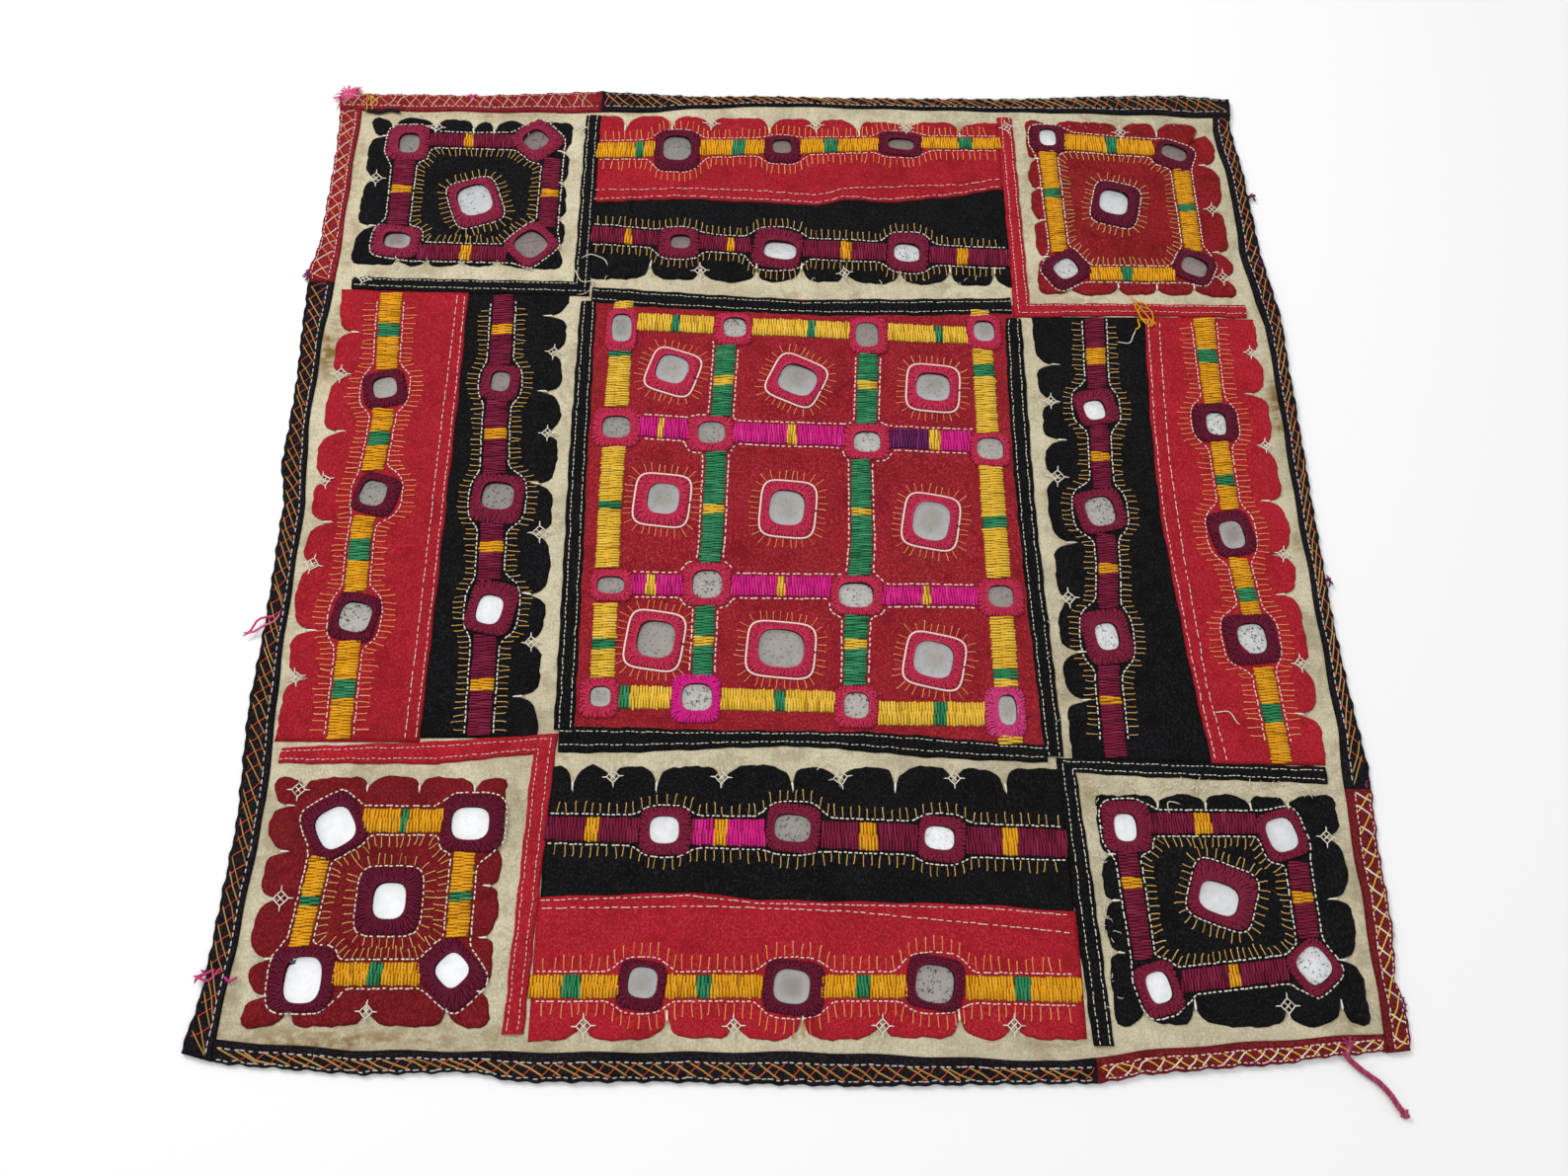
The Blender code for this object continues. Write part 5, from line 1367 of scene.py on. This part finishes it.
def satin(axis, finish, knots, start, end, level, piece):
    # Threads laid across a bar from each side in turn. They end past its middle, where the two
    # sets pass between each other.
    if end - start < barStitch["least"]:
        return
    b = barStitch
    count = max(int((end - start) / b["pitch"] * 2), 4)
    places = start + (end - start) * (np.arange(count) + 0.5) / count + draw.normal(0, b["uneven"], count)
    low, high = (onKnots(knots, places, column) for column in (1, 2))
    fromLow = np.arange(count) % 2 == 0
    near = np.where(fromLow, low, high) + draw.normal(0, b["edge"], count)
    past = b["overlap"] / 2 + draw.uniform(-0.09, 0.13, count)
    farEnd = (low + high) / 2 + np.where(fromLow, 1, -1) * (high - low) * past
    slant, steps = draw.normal(0, b["slant"], count), np.array(b["steps"])
    across = near[:, None] + (farEnd - near)[:, None] * steps
    flat = crossed(axis, places[:, None] + slant[:, None] * steps, across)
    rise = level + np.array(b["rise"]) + draw.normal(0, 0.04, (count, 1))
    layThreads(piece, finish, onCloth(flat, rise), b["width"], b["height"], taper=b["taper"])
    grid = np.linspace(start + b["bedIn"], end - b["bedIn"], max(int((end - start) / 3), 2))
    low, high = (onKnots(knots, grid, column)[:, None] for column in (1, 2))
    across = low + (high - low) * np.array(b["bedShares"])
    top = onCloth(crossed(axis, np.broadcast_to(grid[:, None], across.shape), across),
                  level + np.array(b["bedRise"]))
    # a bed in a low tone under the stitches: painted shade in the gaps between them
    layBed(piece, finish, top.transpose(1, 0, 2) if axis == "x" else top, 0.4, b["bedShadeTone"])


def makeBar(axis, finish, other, knots, runs, bands, level):
    # Cuts each run of a bar at its bands, then fills each part in its own colour.
    for start, end in runs:
        cuts = sorted({start, end, *(c for a, b, *_ in bands for c in (a, b) if start < c < end)})
        for first, last in zip(cuts, cuts[1:]):
            middle = (first + last) / 2
            own = [(*rest, other)[0] for a, b, *rest in bands if a <= middle <= b] or [finish]
            satin(axis, own[0] + "_thread", knots, first, last, level, f"bars_{own[0]}")


for bar in barSet.values():
    makeBar(*bar, clothLevel)
for finish, other, bars in blockBars.values():
    for side, (first, last, band) in bars.items():
        makeBar("x" if side in ("top", "bottom") else "y", finish, other, (first, last),
                ((first[0], last[0]),), (band,), levelSet["block"])
print("bars")


def soften(values, reach):
    # Running mean over a few samples, with the ends held.
    padded = np.pad(values, reach, mode="edge")
    return np.convolve(padded, np.ones(2 * reach + 1) / (2 * reach + 1), mode="valid")


def besideBar(axis, knots, span, mirrors, way, gap=1.0, bulge=2.6):
    # A line beside a bar on one side: the bar's edge, or a ring's squarish bulge where it stands
    # out further.
    places = np.arange(*span, 0.5)
    edge = onKnots(knots, places, 2 if way > 0 else 1) * way + gap
    for *_, left, right, low, high, _, _ in mirrors:
        (a, b), (c, d) = ((left, right), (low, high)) if axis == "x" else ((low, high), (left, right))
        half, centre = (b - a) / 2 + bulge, (a + b) / 2
        far = max(way * c, way * d) + gap
        middle = way * (c + d) / 2
        share = np.clip(1 - np.abs((places - centre) / half) ** 3, 0, 1) ** (1 / 3)
        edge = np.maximum(edge, np.where(share > 0, middle + (far - middle) * share, -1e9))
    return crossed(axis, places, soften(soften(edge, 4), 4) * way)


def inRing(x, y, m, grow):
    # Where points lie inside a ring's outer line grown by some.
    *_, tilt, left, right, low, high, _, _ = m
    turn, swell, power = math.radians(tilt), swellOf(tilt), ringSet["outerPower"]
    x, y = x - (left + right) / 2, y - (low + high) / 2
    across = (x * math.cos(turn) + y * math.sin(turn)) / ((right - left) / 2 / swell + grow)
    upward = (y * math.cos(turn) - x * math.sin(turn)) / ((high - low) / 2 / swell + grow)
    return np.abs(across) ** power + np.abs(upward) ** power < 1


raySet = {"rays": 720, "steps": 620, "smooth": 6}


def rayLine(middle, covered, reach, outermost=False):
    # A closed line round a middle point: where each ray first meets what is covered, or where it
    # last leaves it, as a running mean.
    angle, smooth = np.arange(raySet["rays"]) / raySet["rays"] * tau, raySet["smooth"]
    rays = np.stack([np.cos(angle), np.sin(angle)], -1)
    steps = np.linspace(0, reach, raySet["steps"])
    spots = np.array(middle) + rays[:, None] * steps[:, None]
    hit = covered(spots[..., 0], spots[..., 1])
    found = np.argmax(hit[:, ::-1], axis=1) if outermost else np.argmax(hit, axis=1)
    places = steps[len(steps) - 1 - found] if outermost else steps[found]
    places = np.concatenate([places[-smooth:], places, places[:smooth]])
    window = np.ones(2 * smooth + 1) / (2 * smooth + 1)
    return np.array(middle) + rays * np.convolve(places, window, mode="valid")[:, None]


fringeFinish = {"red": ("fringes_orange", "orange_thread"), "black": ("fringes_tan", "tan_thread"),
                "deep_red": ("fringes_gold", "tan_thread")}
fringePitch = {"left": 2.9, "right": 3.0, "top": 3.2, "bottom": 3.7}
fringeReach, fringeWidth = {"red": 6.3, "black": 5.2}, {"red": 0.55, "black": 0.44}
strandOf = {"red": "blush_thread", "black": "cream_thread", "frame": "cream_thread"}  # running stitches
for side, colour, span, *_ in stripSet:
    cloth = f"strip_{side}_{colour}"
    axis, _, _, knots, *_ = barSet[cloth]
    low, high = max(span[0], -117.5) + 1.5, min(span[1], 118) - 1.5
    for way in (1, -1):
        line = besideBar(axis, knots, (low, high), mirrorSet[cloth], way)
        runStitches("running_" + colour, strandOf[colour], line, clothLevel)
        turn = way if axis == "x" else -way
        fringeStitches(*fringeFinish[colour], line, turn, clothLevel,
                       ("way", (0, way) if axis == "x" else (way, 0)), pitch=fringePitch[side],
                       reach=fringeReach[colour], width=fringeWidth[colour], even=20)


def blockCovered(x, y, mirrors, bars, gap=1.0, beyond=8):
    # Where points lie in the square of bars and rings of a block, grown by a gap.
    found = np.zeros(x.shape, bool)
    for m in mirrors[:4]:
        found |= inRing(x, y, m, gap)
    for side, (first, last, _) in bars.items():
        run, across = (x, y) if side in ("top", "bottom") else (y, x)
        low, high = (onKnots((first, last), run, column) for column in (1, 2))
        found |= ((run > first[0] - beyond) & (run < last[0] + beyond)
                  & (across > low - gap) & (across < high + gap))
    return found


def stitchBlock(corner, bars, level, reach=84):
    # Running stitches round both sides of the square of bars and round the middle ring, with
    # fringes between them.
    mirrors, threads = mirrorSet["block_" + corner], fringeFinish[blockSet[corner]["colour"]]
    middle, look = mirrors[4][:2], {"pitch": 3.1, "hook": 0.45, "closed": True}
    outer, inner = (rayLine(middle, lambda x, y: blockCovered(x, y, mirrors, bars), reach, outermost)
                    for outermost in (True, False))
    for line in (outer, inner):
        runStitches("running_blocks", "cream_thread", line, level, closed=True)
    fringeStitches(*threads, inner, 1, level, ("point", middle), even=34, **look)
    line = ringLines(mirrors[4], np.linspace(0, tau, 180, endpoint=False), grow=0.8)[1]
    runStitches("running_blocks", "cream_thread", line, level, closed=True)
    fringeStitches(*threads, line, -1, level, **look)


for corner, (_, _, bars) in blockBars.items():
    stitchBlock(corner, bars, levelSet["block"])

cellSides = {  # the bars that bound the columns and the rows of the nine cells
    "columns": (("centre_left", "centre_second"), ("centre_second", "centre_third"),
                ("centre_third", "centre_right")),
    "rows": (("centre_upper", "centre_top"), ("centre_lower", "centre_upper"),
             ("centre_bottom", "centre_lower"))}
plainBars = ("centre_left", "centre_right", "centre_top", "centre_bottom")
cellMirrors = mirrorSet["centre_panel"][16:]


def cellCovered(x, y, row, col, gap=0.95, stitched=False):
    # Where points lie in what bounds a cell: its four bars and four rings grown by a gap, or those
    # of them that have stitches beside them.
    found = np.zeros(x.shape, bool)
    (west, east), (south, north) = cellSides["columns"][col], cellSides["rows"][row]
    for name, run, across, column, way in ((west, y, x, 2, -1), (east, y, x, 1, 1),
                                           (south, x, y, 2, -1), (north, x, y, 1, 1)):
        if not stitched or name not in plainBars:
            found |= way * across > way * onKnots(barSet[name][3], run, column) - gap
    for i, j in ((row, col), (row, col + 1), (row + 1, col), (row + 1, col + 1)):
        if not stitched or (0 < i < 3 and 0 < j < 3):
            found |= inRing(x, y, mirrorSet["centre_panel"][4 * i + j], gap)
    return found


def stitchCell(row, col, middle, reach=80, least=12):
    # Running stitches round a cell, but only beside the bars and rings that have them.
    line = rayLine(middle, lambda x, y: cellCovered(x, y, row, col), reach)
    keep = cellCovered(*line.T, row, col, 1.5, True)
    start = int(np.argmax(~keep)) if (~keep).any() else 0
    line, keep = np.roll(line, -start, axis=0), np.roll(keep, -start)
    cuts = np.flatnonzero(np.diff(keep.astype(int))) + 1
    for part, kept in zip(np.split(line, cuts), np.split(keep, cuts)):
        if kept[0] and len(part) > least:
            runStitches("running_centre", "blush_thread", part, clothLevel, pitch=2.7, width=0.86,
                        closed=len(part) == raySet["rays"])


for number, m in enumerate(cellMirrors):
    stitchCell(*divmod(number, 3), m[:2])
for m in cellMirrors:  # a couched cord round each ring, and a fringe inside the cell
    line = ringLines(m, np.linspace(0, tau, 97), grow=0.6)[1]
    cordLine = onCloth(line, clothLevel + 0.45)[None]
    layThreads("cell_cords", "blush_thread", cordLine, 1.15, 1.0, tone=np.array([0.75]))
    fringeStitches("fringes_centre", "orange_thread", line[:-1], -1, clothLevel, reach=5.0,
                   start=0.5, closed=True)

for first, second, level, kind in edgeLines:  # two lines of stitches on each folded strip
    for share in (0.27, 0.77):
        runStitches("running_edges_" + kind, strandOf[kind], first * (1 - share) + second * share, level,
                    share=0.84, width=0.42)
seamLines = {  # second line of stitches beyond each seam
    "top": ((-113, 188), (-60, 190), (-20, 189), (10, 188), (25, 193), (60, 195), (90, 197), (112, 202)),
    "bottom": ((-116, 192), (-40, 191), (20, 193), (50, 196), (85, 199), (116, 202)),
    "left": ((-118, 181.5), (0, 181), (121, 180.5)),
    "right": ((-125, 195), (-90, 190), (-30, 187), (30, 186), (100, 189), (111, 190))}
for side, knots in seamLines.items():
    places = np.linspace(knots[0][0], knots[-1][0], 60)
    runStitches("running_red", "blush_thread", onSide(side, places, seamAt(side, places) + 1.7),
                clothLevel + 0.66, pitch=3.0, share=0.87, width=0.5)
    runStitches("running_red", "blush_thread", onSide(side, places, onKnots(knots, places)),
                clothLevel + 0.42, pitch=3.4, share=0.87, width=0.5)
print("running stitches and fringes")


def makeStars(places):
    # Each star is a small square net of threads, four holes in it, with a point at each corner.
    places = np.array(places)
    count = len(places)
    turn = draw.normal(0, 0.14, (count, 1)) + np.arange(5) / 4 * tau
    size = draw.normal(1, 0.08, (count, 1))
    way = np.stack([np.cos(turn), np.sin(turn)], -1) * size[..., None]
    middle, level = places[:, None, :2], places[:, None, 2] + 0.4
    steps = np.array([0, 0.15, 0.85, 1.0])[:, None]

    def thread(first, last, width, lift, taper=1.0):  # from first to last, measured from the middle
        line = middle + first[:, None] * (1 - steps) + last[:, None] * steps
        height = level + np.array([-0.1, 0.15, 0.15, -0.1]) + lift
        layThreads("lace_stars", "cream_thread", onCloth(line, height), width, 0.45, taper=taper)

    for k in range(4):
        thread(way[:, k] * 3.0, way[:, k + 1] * 3.0, 0.56, 0.0)
        thread(way[:, k] * 2.2, way[:, k] * 5.3, 0.75, 0.1, (1.0, 0.6))
    for k in (0, 1):
        half = (way[:, k] + way[:, k + 1]) * 1.5
        thread(half, -half, 0.5, 0.0)


makeStars(starPlaces)
ends = np.stack([np.stack([first, last]) for first, last, _ in slitEnds])
steps = np.array([0, 0.3, 0.8, 1.0])[:, None]
flat = ends[:, :1] * (1 - steps) + ends[:, 1:] * steps + draw.normal(0, 0.2, (len(ends), 4, 2)) * steps
rise = np.array([level for *_, level in slitEnds])[:, None] + np.array([-0.2, 0.25, 0.25, -0.1])
layThreads("lace_stars", "cream_thread", onCloth(flat, rise), 1.15, 0.6, taper=(1.0, 0.6))

herringSet = {  # binding: pitch, then finish, slant and width of the stitches down and of those up
    "top_red": (6.4, ("ochre_thread", 6.0, 0.56), ("blush_thread", 5.0, 0.5)),
    "left_red": (8.2, ("orange_thread", 10.0, 0.5), ("cream_thread", 8.0, 0.6)),
    "right_red": (8.8, ("yellow_thread", 10.5, 0.62), ("cream_thread", 5.5, 0.85)),
    "bottom_red": (7.0, ("yellow_thread", 7.0, 0.6), ("cream_thread", 6.4, 0.66)),
    "top_black": (6.0, ("ochre_thread", 9.5, 0.7), ("coral_thread", 7.0, 0.5)),
    "right_black": (7.8, ("ochre_thread", 13.0, 0.62), ("coral_thread", 9.0, 0.5)),
    "bottom_black": (7.0, ("ochre_thread", 10.0, 0.75), ("coral_thread", 7.5, 0.5)),
    "left_black": (7.4, ("ochre_thread", 13.0, 0.6), ("coral_thread", 8.5, 0.5))}
for name, (outer, inner) in bindingLines.items():
    colour = name.split("_")[1]
    pitch, *rows = herringSet[name]
    level = levelSet["binding"]
    lines = [outer * (1 - share) + inner * share for share in (0.15, stitchLine[bindingSet[name][0]] - 0.03)]
    finish, gap = ("pale_thread", 3.3) if colour == "black" else ("blush_thread", 2.5)
    for line, wide in zip(lines, (0.5, 0.62)):
        if line is lines[0] and name in ("left_black", "right_black"):
            continue  # these two have only the inner line
        run = runOf(line)
        runStitches("running_binding_" + colour, finish, line[(run > 1.5) & (run < run[-1] - 1.5)],
                    level * 0.88, pitch=gap, share=0.8, width=wide)
    (a, runA), (b, runB) = along(lines[0]), along(lines[1])
    total = min(runA[-1], runB[-1])
    for way, (finish, slant, width) in zip((1, -1), rows):
        starts = np.arange(2.0 if way > 0 else 5.0, total - (5.0 if way > 0 else 2.0), pitch)
        starts = starts + draw.normal(0, 0.7, len(starts))
        ends = np.clip(starts + way * slant * (1 + draw.normal(0, 0.1, len(starts))), 1.2, total - 1.2)
        steps = np.array([0, 0.12, 0.5, 0.88, 1])[None, :, None]
        flat = at(a, runA, starts)[:, None] * (1 - steps) + at(b, runB, ends)[:, None] * steps
        flat = flat + draw.normal(0, 0.55, (len(starts), 1, 2)) * np.sin(np.pi * steps)
        rise = level + np.array([-0.3, 0.1, 0.35 if way > 0 else 0.2, 0.1, -0.3])
        layThreads("herringbone_" + finish, finish, onCloth(flat, rise), width, 0.5)
print("stars and herringbone")


def wanderLine(start, end, bow, count, height, seed):
    # A thread from start to end that bows to one side and wavers as it goes.
    start, end = np.array(start, float), np.array(end, float)
    t = np.linspace(0, 1, count)[:, None]
    ahead = end - start
    out = np.array([-ahead[1], ahead[0]])
    flat = start + ahead * t + out * (bow * np.sin(np.pi * t) + 0.05 * np.sin(9 * t + seed))
    return onCloth(flat, height)[None]


tuftShape = {"steps": (0, 0.2, 0.5, 0.8, 1.0), "scatter": 7, "length": (0.65, 1.08), "bend": 0.22,
             "uneven": 0.25, "droop": 0.9, "lift": 0.6, "width": 0.85, "height": 0.75, "sides": 8,
             "radii": (2.4, 1.9, 1.0, 0.1), "rise": (0.0, 0.9, 1.3, 1.4), "scale": 11}


def makeTuft(piece, finish, foot, strands, reach, first, last, level):
    # Frayed strands that fan out from one foot between two angles, and droop at their tips, over
    # a low round bed in proportion to their reach.
    f, foot = tuftShape, np.array(foot)
    angle = np.radians(np.linspace(first, last, strands) + draw.normal(0, f["scatter"], strands))
    length = reach * draw.uniform(*f["length"], strands)
    t = np.array(f["steps"])
    way = angle[:, None] + draw.normal(0, f["bend"], (strands, 1)) * t ** 2
    flat = foot + (length[:, None] * t)[..., None] * np.stack([np.cos(way), np.sin(way)], -1)
    flat += draw.normal(0, f["uneven"], (strands, len(t), 2)) * t[:, None]
    rise = level + np.sin(np.pi * np.minimum(t * 1.1, 1)) - f["droop"] * t
    rise = rise + draw.uniform(0, f["lift"], (strands, 1)) * t
    layThreads(piece, finish, onCloth(flat, rise), f["width"], f["height"])
    turn = np.linspace(0, tau, f["sides"] + 1)[:-1]
    radii, lift = (np.array(f[key]) * reach / f["scale"] for key in ("radii", "rise"))
    flat = foot + np.stack([np.cos(turn), np.sin(turn)], -1)[:, None] * radii[:, None]
    layBed(piece, finish, onCloth(flat, level + lift), 0.5, 0.4, wrapRows=True)


tuftSet = (  # piece, finish, foot, strands, reach, first and last angle, level
    ("corner_tuft_threads", "pink_yarn", (-252, 248.5), 34, 11, 40, 215, 1.6),
    ("corner_tuft_threads", "pink_yarn", (-185, 249.5), 8, 4.5, 40, 140, 2.4),
    ("edge_bits", "purple_thread", (-258.5, 130), 12, 4.6, 110, 250, 1.6),
    ("edge_bits", "purple_thread", (-253.5, -219), 5, 3.4, 130, 220, 1.8),
    ("edge_bits", "purple_thread", (251, 194), 8, 4.6, -50, 50, 1.6),
    ("edge_bits", "purple_thread", (249.5, 150), 5, 3.6, -50, 50, 1.6),
    ("edge_bits", "purple_thread", (257, -35), 6, 4.0, -60, 40, 1.6),
    ("edge_bits", "purple_thread", (257.5, -135), 6, 4.6, -60, 40, 1.6),
    ("edge_bits", "purple_thread", (255, -231), 10, 6.0, -85, 40, 1.8),
    ("corner_tail_yarn", "faded_yarn", (231, -247.6), 12, 4.4, 30, 390, 2.4),
    ("edge_bits", "purple_thread", (190, -253.5), 5, 3.0, 190, 340, 2.0))
for tuft in tuftSet:
    makeTuft(*tuft)


def layStrays(piece, finish, width, height, level, count, seed, ends):
    # Stray threads, each from a start to an end with a bow.
    for index, (start, end, bow) in enumerate(ends):
        layThreads(piece, finish, wanderLine(start, end, bow, count, level, seed + index), width, height)


layStrays("corner_tuft_threads", "pink_yarn", 1.2, 1.0, 2.6, 9, 0, (
    ((-246, -56), (-263, -67), 0.2), ((-248, -58), (-262, -70), -0.1), ((-240, -220), (-246, -220), 0.3),
    ((-247, -216), (-259, -220), 0.25), ((-249, -218), (-258, -223), -0.2)))
layStrays("herringbone_yellow_thread", "yellow_thread", 0.5, 0.45, 3.1, 9, 0, (
    ((-242, 250), (-239.5, 238), 0.1), ((-239, 250), (-242, 237), -0.12), ((-241, 249), (-237, 241), 0.2),
    ((-247, 249), (-238, 250), 0.1)))
layStrays("black_sliver", "black_thread", 2.3, 0.9, 2.1, 9, 1, (((-244, 237.5), (-223, 238.6), 0.06),))
tailSet = {"route": ((228, -250), (230.5, -253.65), (236, -258.3), (242, -262.5), (246, -267), (249, -272.5),
                     (252.2, -276.4)), "radius": 0.68, "turns": 8, "plies": 3}


def makeTail(t):
    # Three yarns wound round one route, each a third of a turn after the last.
    path, run = along(t["route"])
    places = np.linspace(0, run[-1], 60)
    flat = at(path, run, places)
    ahead = np.gradient(flat, axis=0)
    ahead /= np.linalg.norm(ahead, axis=1, keepdims=True)
    out = np.stack([-ahead[:, 1], ahead[:, 0]], -1)
    for ply in range(t["plies"]):
        turn = places / run[-1] * t["turns"] * tau + ply * tau / t["plies"]
        line = flat + out * (t["radius"] * np.cos(turn))[:, None]
        high = np.clip(1.9 + 0.9 * (1 - places / 9), 1.9, 3.3) + t["radius"] * np.sin(turn)
        # each ply in a tone of its own: painted shade and highlight along the twist
        layThreads("corner_tail_yarn", "faded_yarn", onCloth(line, high - 0.2)[None], 1.35, 1.3,
                   tone=np.array([0.35 + 0.2 * ply]))
    makeTuft("corner_tail_yarn", "faded_yarn", (250.6, -274.6), 10, 2.6, 230, 400, 1.2)


makeTail(tailSet)
layStrays("loose_ends", "cream_thread", 0.55, 0.5, 3.0, 12, 0, (
    ((-118, 143), (-103, 138), 0.35), ((-121, 136), (-106, 130), -0.25), ((176, 105), (166, 97), 0.3),
    ((5, -131), (14, -129), 0.3), ((192, -102), (203, -109), 0.22), ((165, -150), (171, -146), 0.6),
    ((-112, 132), (-119, 121), 0.4)))
tangleSet = {"middle": (181, 116), "reach": (3.6, 6.4), "drift": (0.1, -0.2), "turns": 3.2, "level": 3.1}
angle = np.linspace(0, tangleSet["turns"] * tau, 70)
tangle = np.stack([np.cos(angle), np.sin(angle * 0.83)], -1) * tangleSet["reach"]
tangle = tangle + tangleSet["middle"] + angle[:, None] * tangleSet["drift"]
rise = tangleSet["level"] + 0.35 * np.sin(angle * 2.1)
layThreads("yellow_tangle", "gold_thread", onCloth(tangle, rise)[None], 0.9, 0.8)
layStrays("yellow_tangle", "gold_thread", 0.9, 0.8, 3.0, 9, 0, (
    ((182, 122), (176, 127), 0.2), ((179, 110), (188, 107), 0.3), ((178, 112), (176, 104), 0.2)))

fraySet = (  # start, end, how many, longest, finish: fibres worked loose along an edge
    ((132, -136.5), (240, -138), 46, 7.0, "cream_thread"),
    ((131.5, -141), (132, -236), 34, 6.0, "cream_thread"),
    ((118, -55), (120, -122), 18, 5.5, "cream_thread"),
    ((-232, 133), (-124, 132), 10, 4.5, "cream_thread"),
    ((-236, 236), (-128, 239), 12, 4.0, "cream_thread"),
    ((128, 240), (232, 243), 12, 4.0, "cream_thread"),
    ((-110, 130), (112, 134), 16, 4.5, "cream_thread"),
    ((-128, -136), (-129, -238), 16, 4.5, "cream_thread"),
    ((251.5, 60), (245, 235), 16, 3.4, "maroon_thread"),
    ((256.5, -60), (258, -236), 30, 3.2, "coral_thread"),
    ((-100, -259.5), (110, -261.5), 12, 2.6, "maroon_thread"))
for start, end, count, longest, finish in fraySet:
    share = draw.uniform(0, 1, (count, 1))
    foot = np.array(start) * (1 - share) + np.array(end) * share + draw.normal(0, 0.7, (count, 2))
    t = np.array([0, 0.3, 0.7, 1.0])
    angle = draw.uniform(0, tau, (count, 1)) + draw.normal(0, 1.3, (count, 1)) * t
    reach = draw.uniform(0.35, 1, (count, 1)) * longest
    flat = foot[:, None] + np.stack([np.cos(angle), np.sin(angle)], -1) * (reach * t)[..., None]
    droop = 0 if finish == "cream_thread" else 0.9  # over the edge of the cloth
    rise = 1.7 + draw.uniform(0, 1.0, (count, 1)) * np.sin(np.pi * t) - droop * t
    layThreads("frayed_" + finish, finish, onCloth(flat, rise), 0.32, 0.3)

owners = {"corner_tuft_threads": "corner_tuft", "corner_tail_yarn": "corner_tail"}
for name, (bundle, finish) in threadBook.items():
    piece = bundle.make(name, finish)
    if name in owners:
        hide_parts(owners[name])
    print("threads", name, len(piece.data.polygons))

floorMesh = bpy.data.meshes.new("floor")
corners = [(6 * x, 6 * y, -0.0002) for x, y in ((-1, -1), (1, -1), (1, 1), (-1, 1))]
floorMesh.from_pydata(corners, [], [(0, 1, 2, 3)])
floorMaterial = Recipe("floor_paint", Roughness=0.9)
floorMesh.materials.append(floorMaterial.finish((0.86, 0.86, 0.86, 1)))
floor = bpy.data.objects.new("floor", floorMesh)
bpy.context.scene.collection.objects.link(floor)
floor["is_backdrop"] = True

total = sum(len(p.vertices) - 2 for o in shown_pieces() for p in o.data.polygons)
print("triangles shown", total)
low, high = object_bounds()
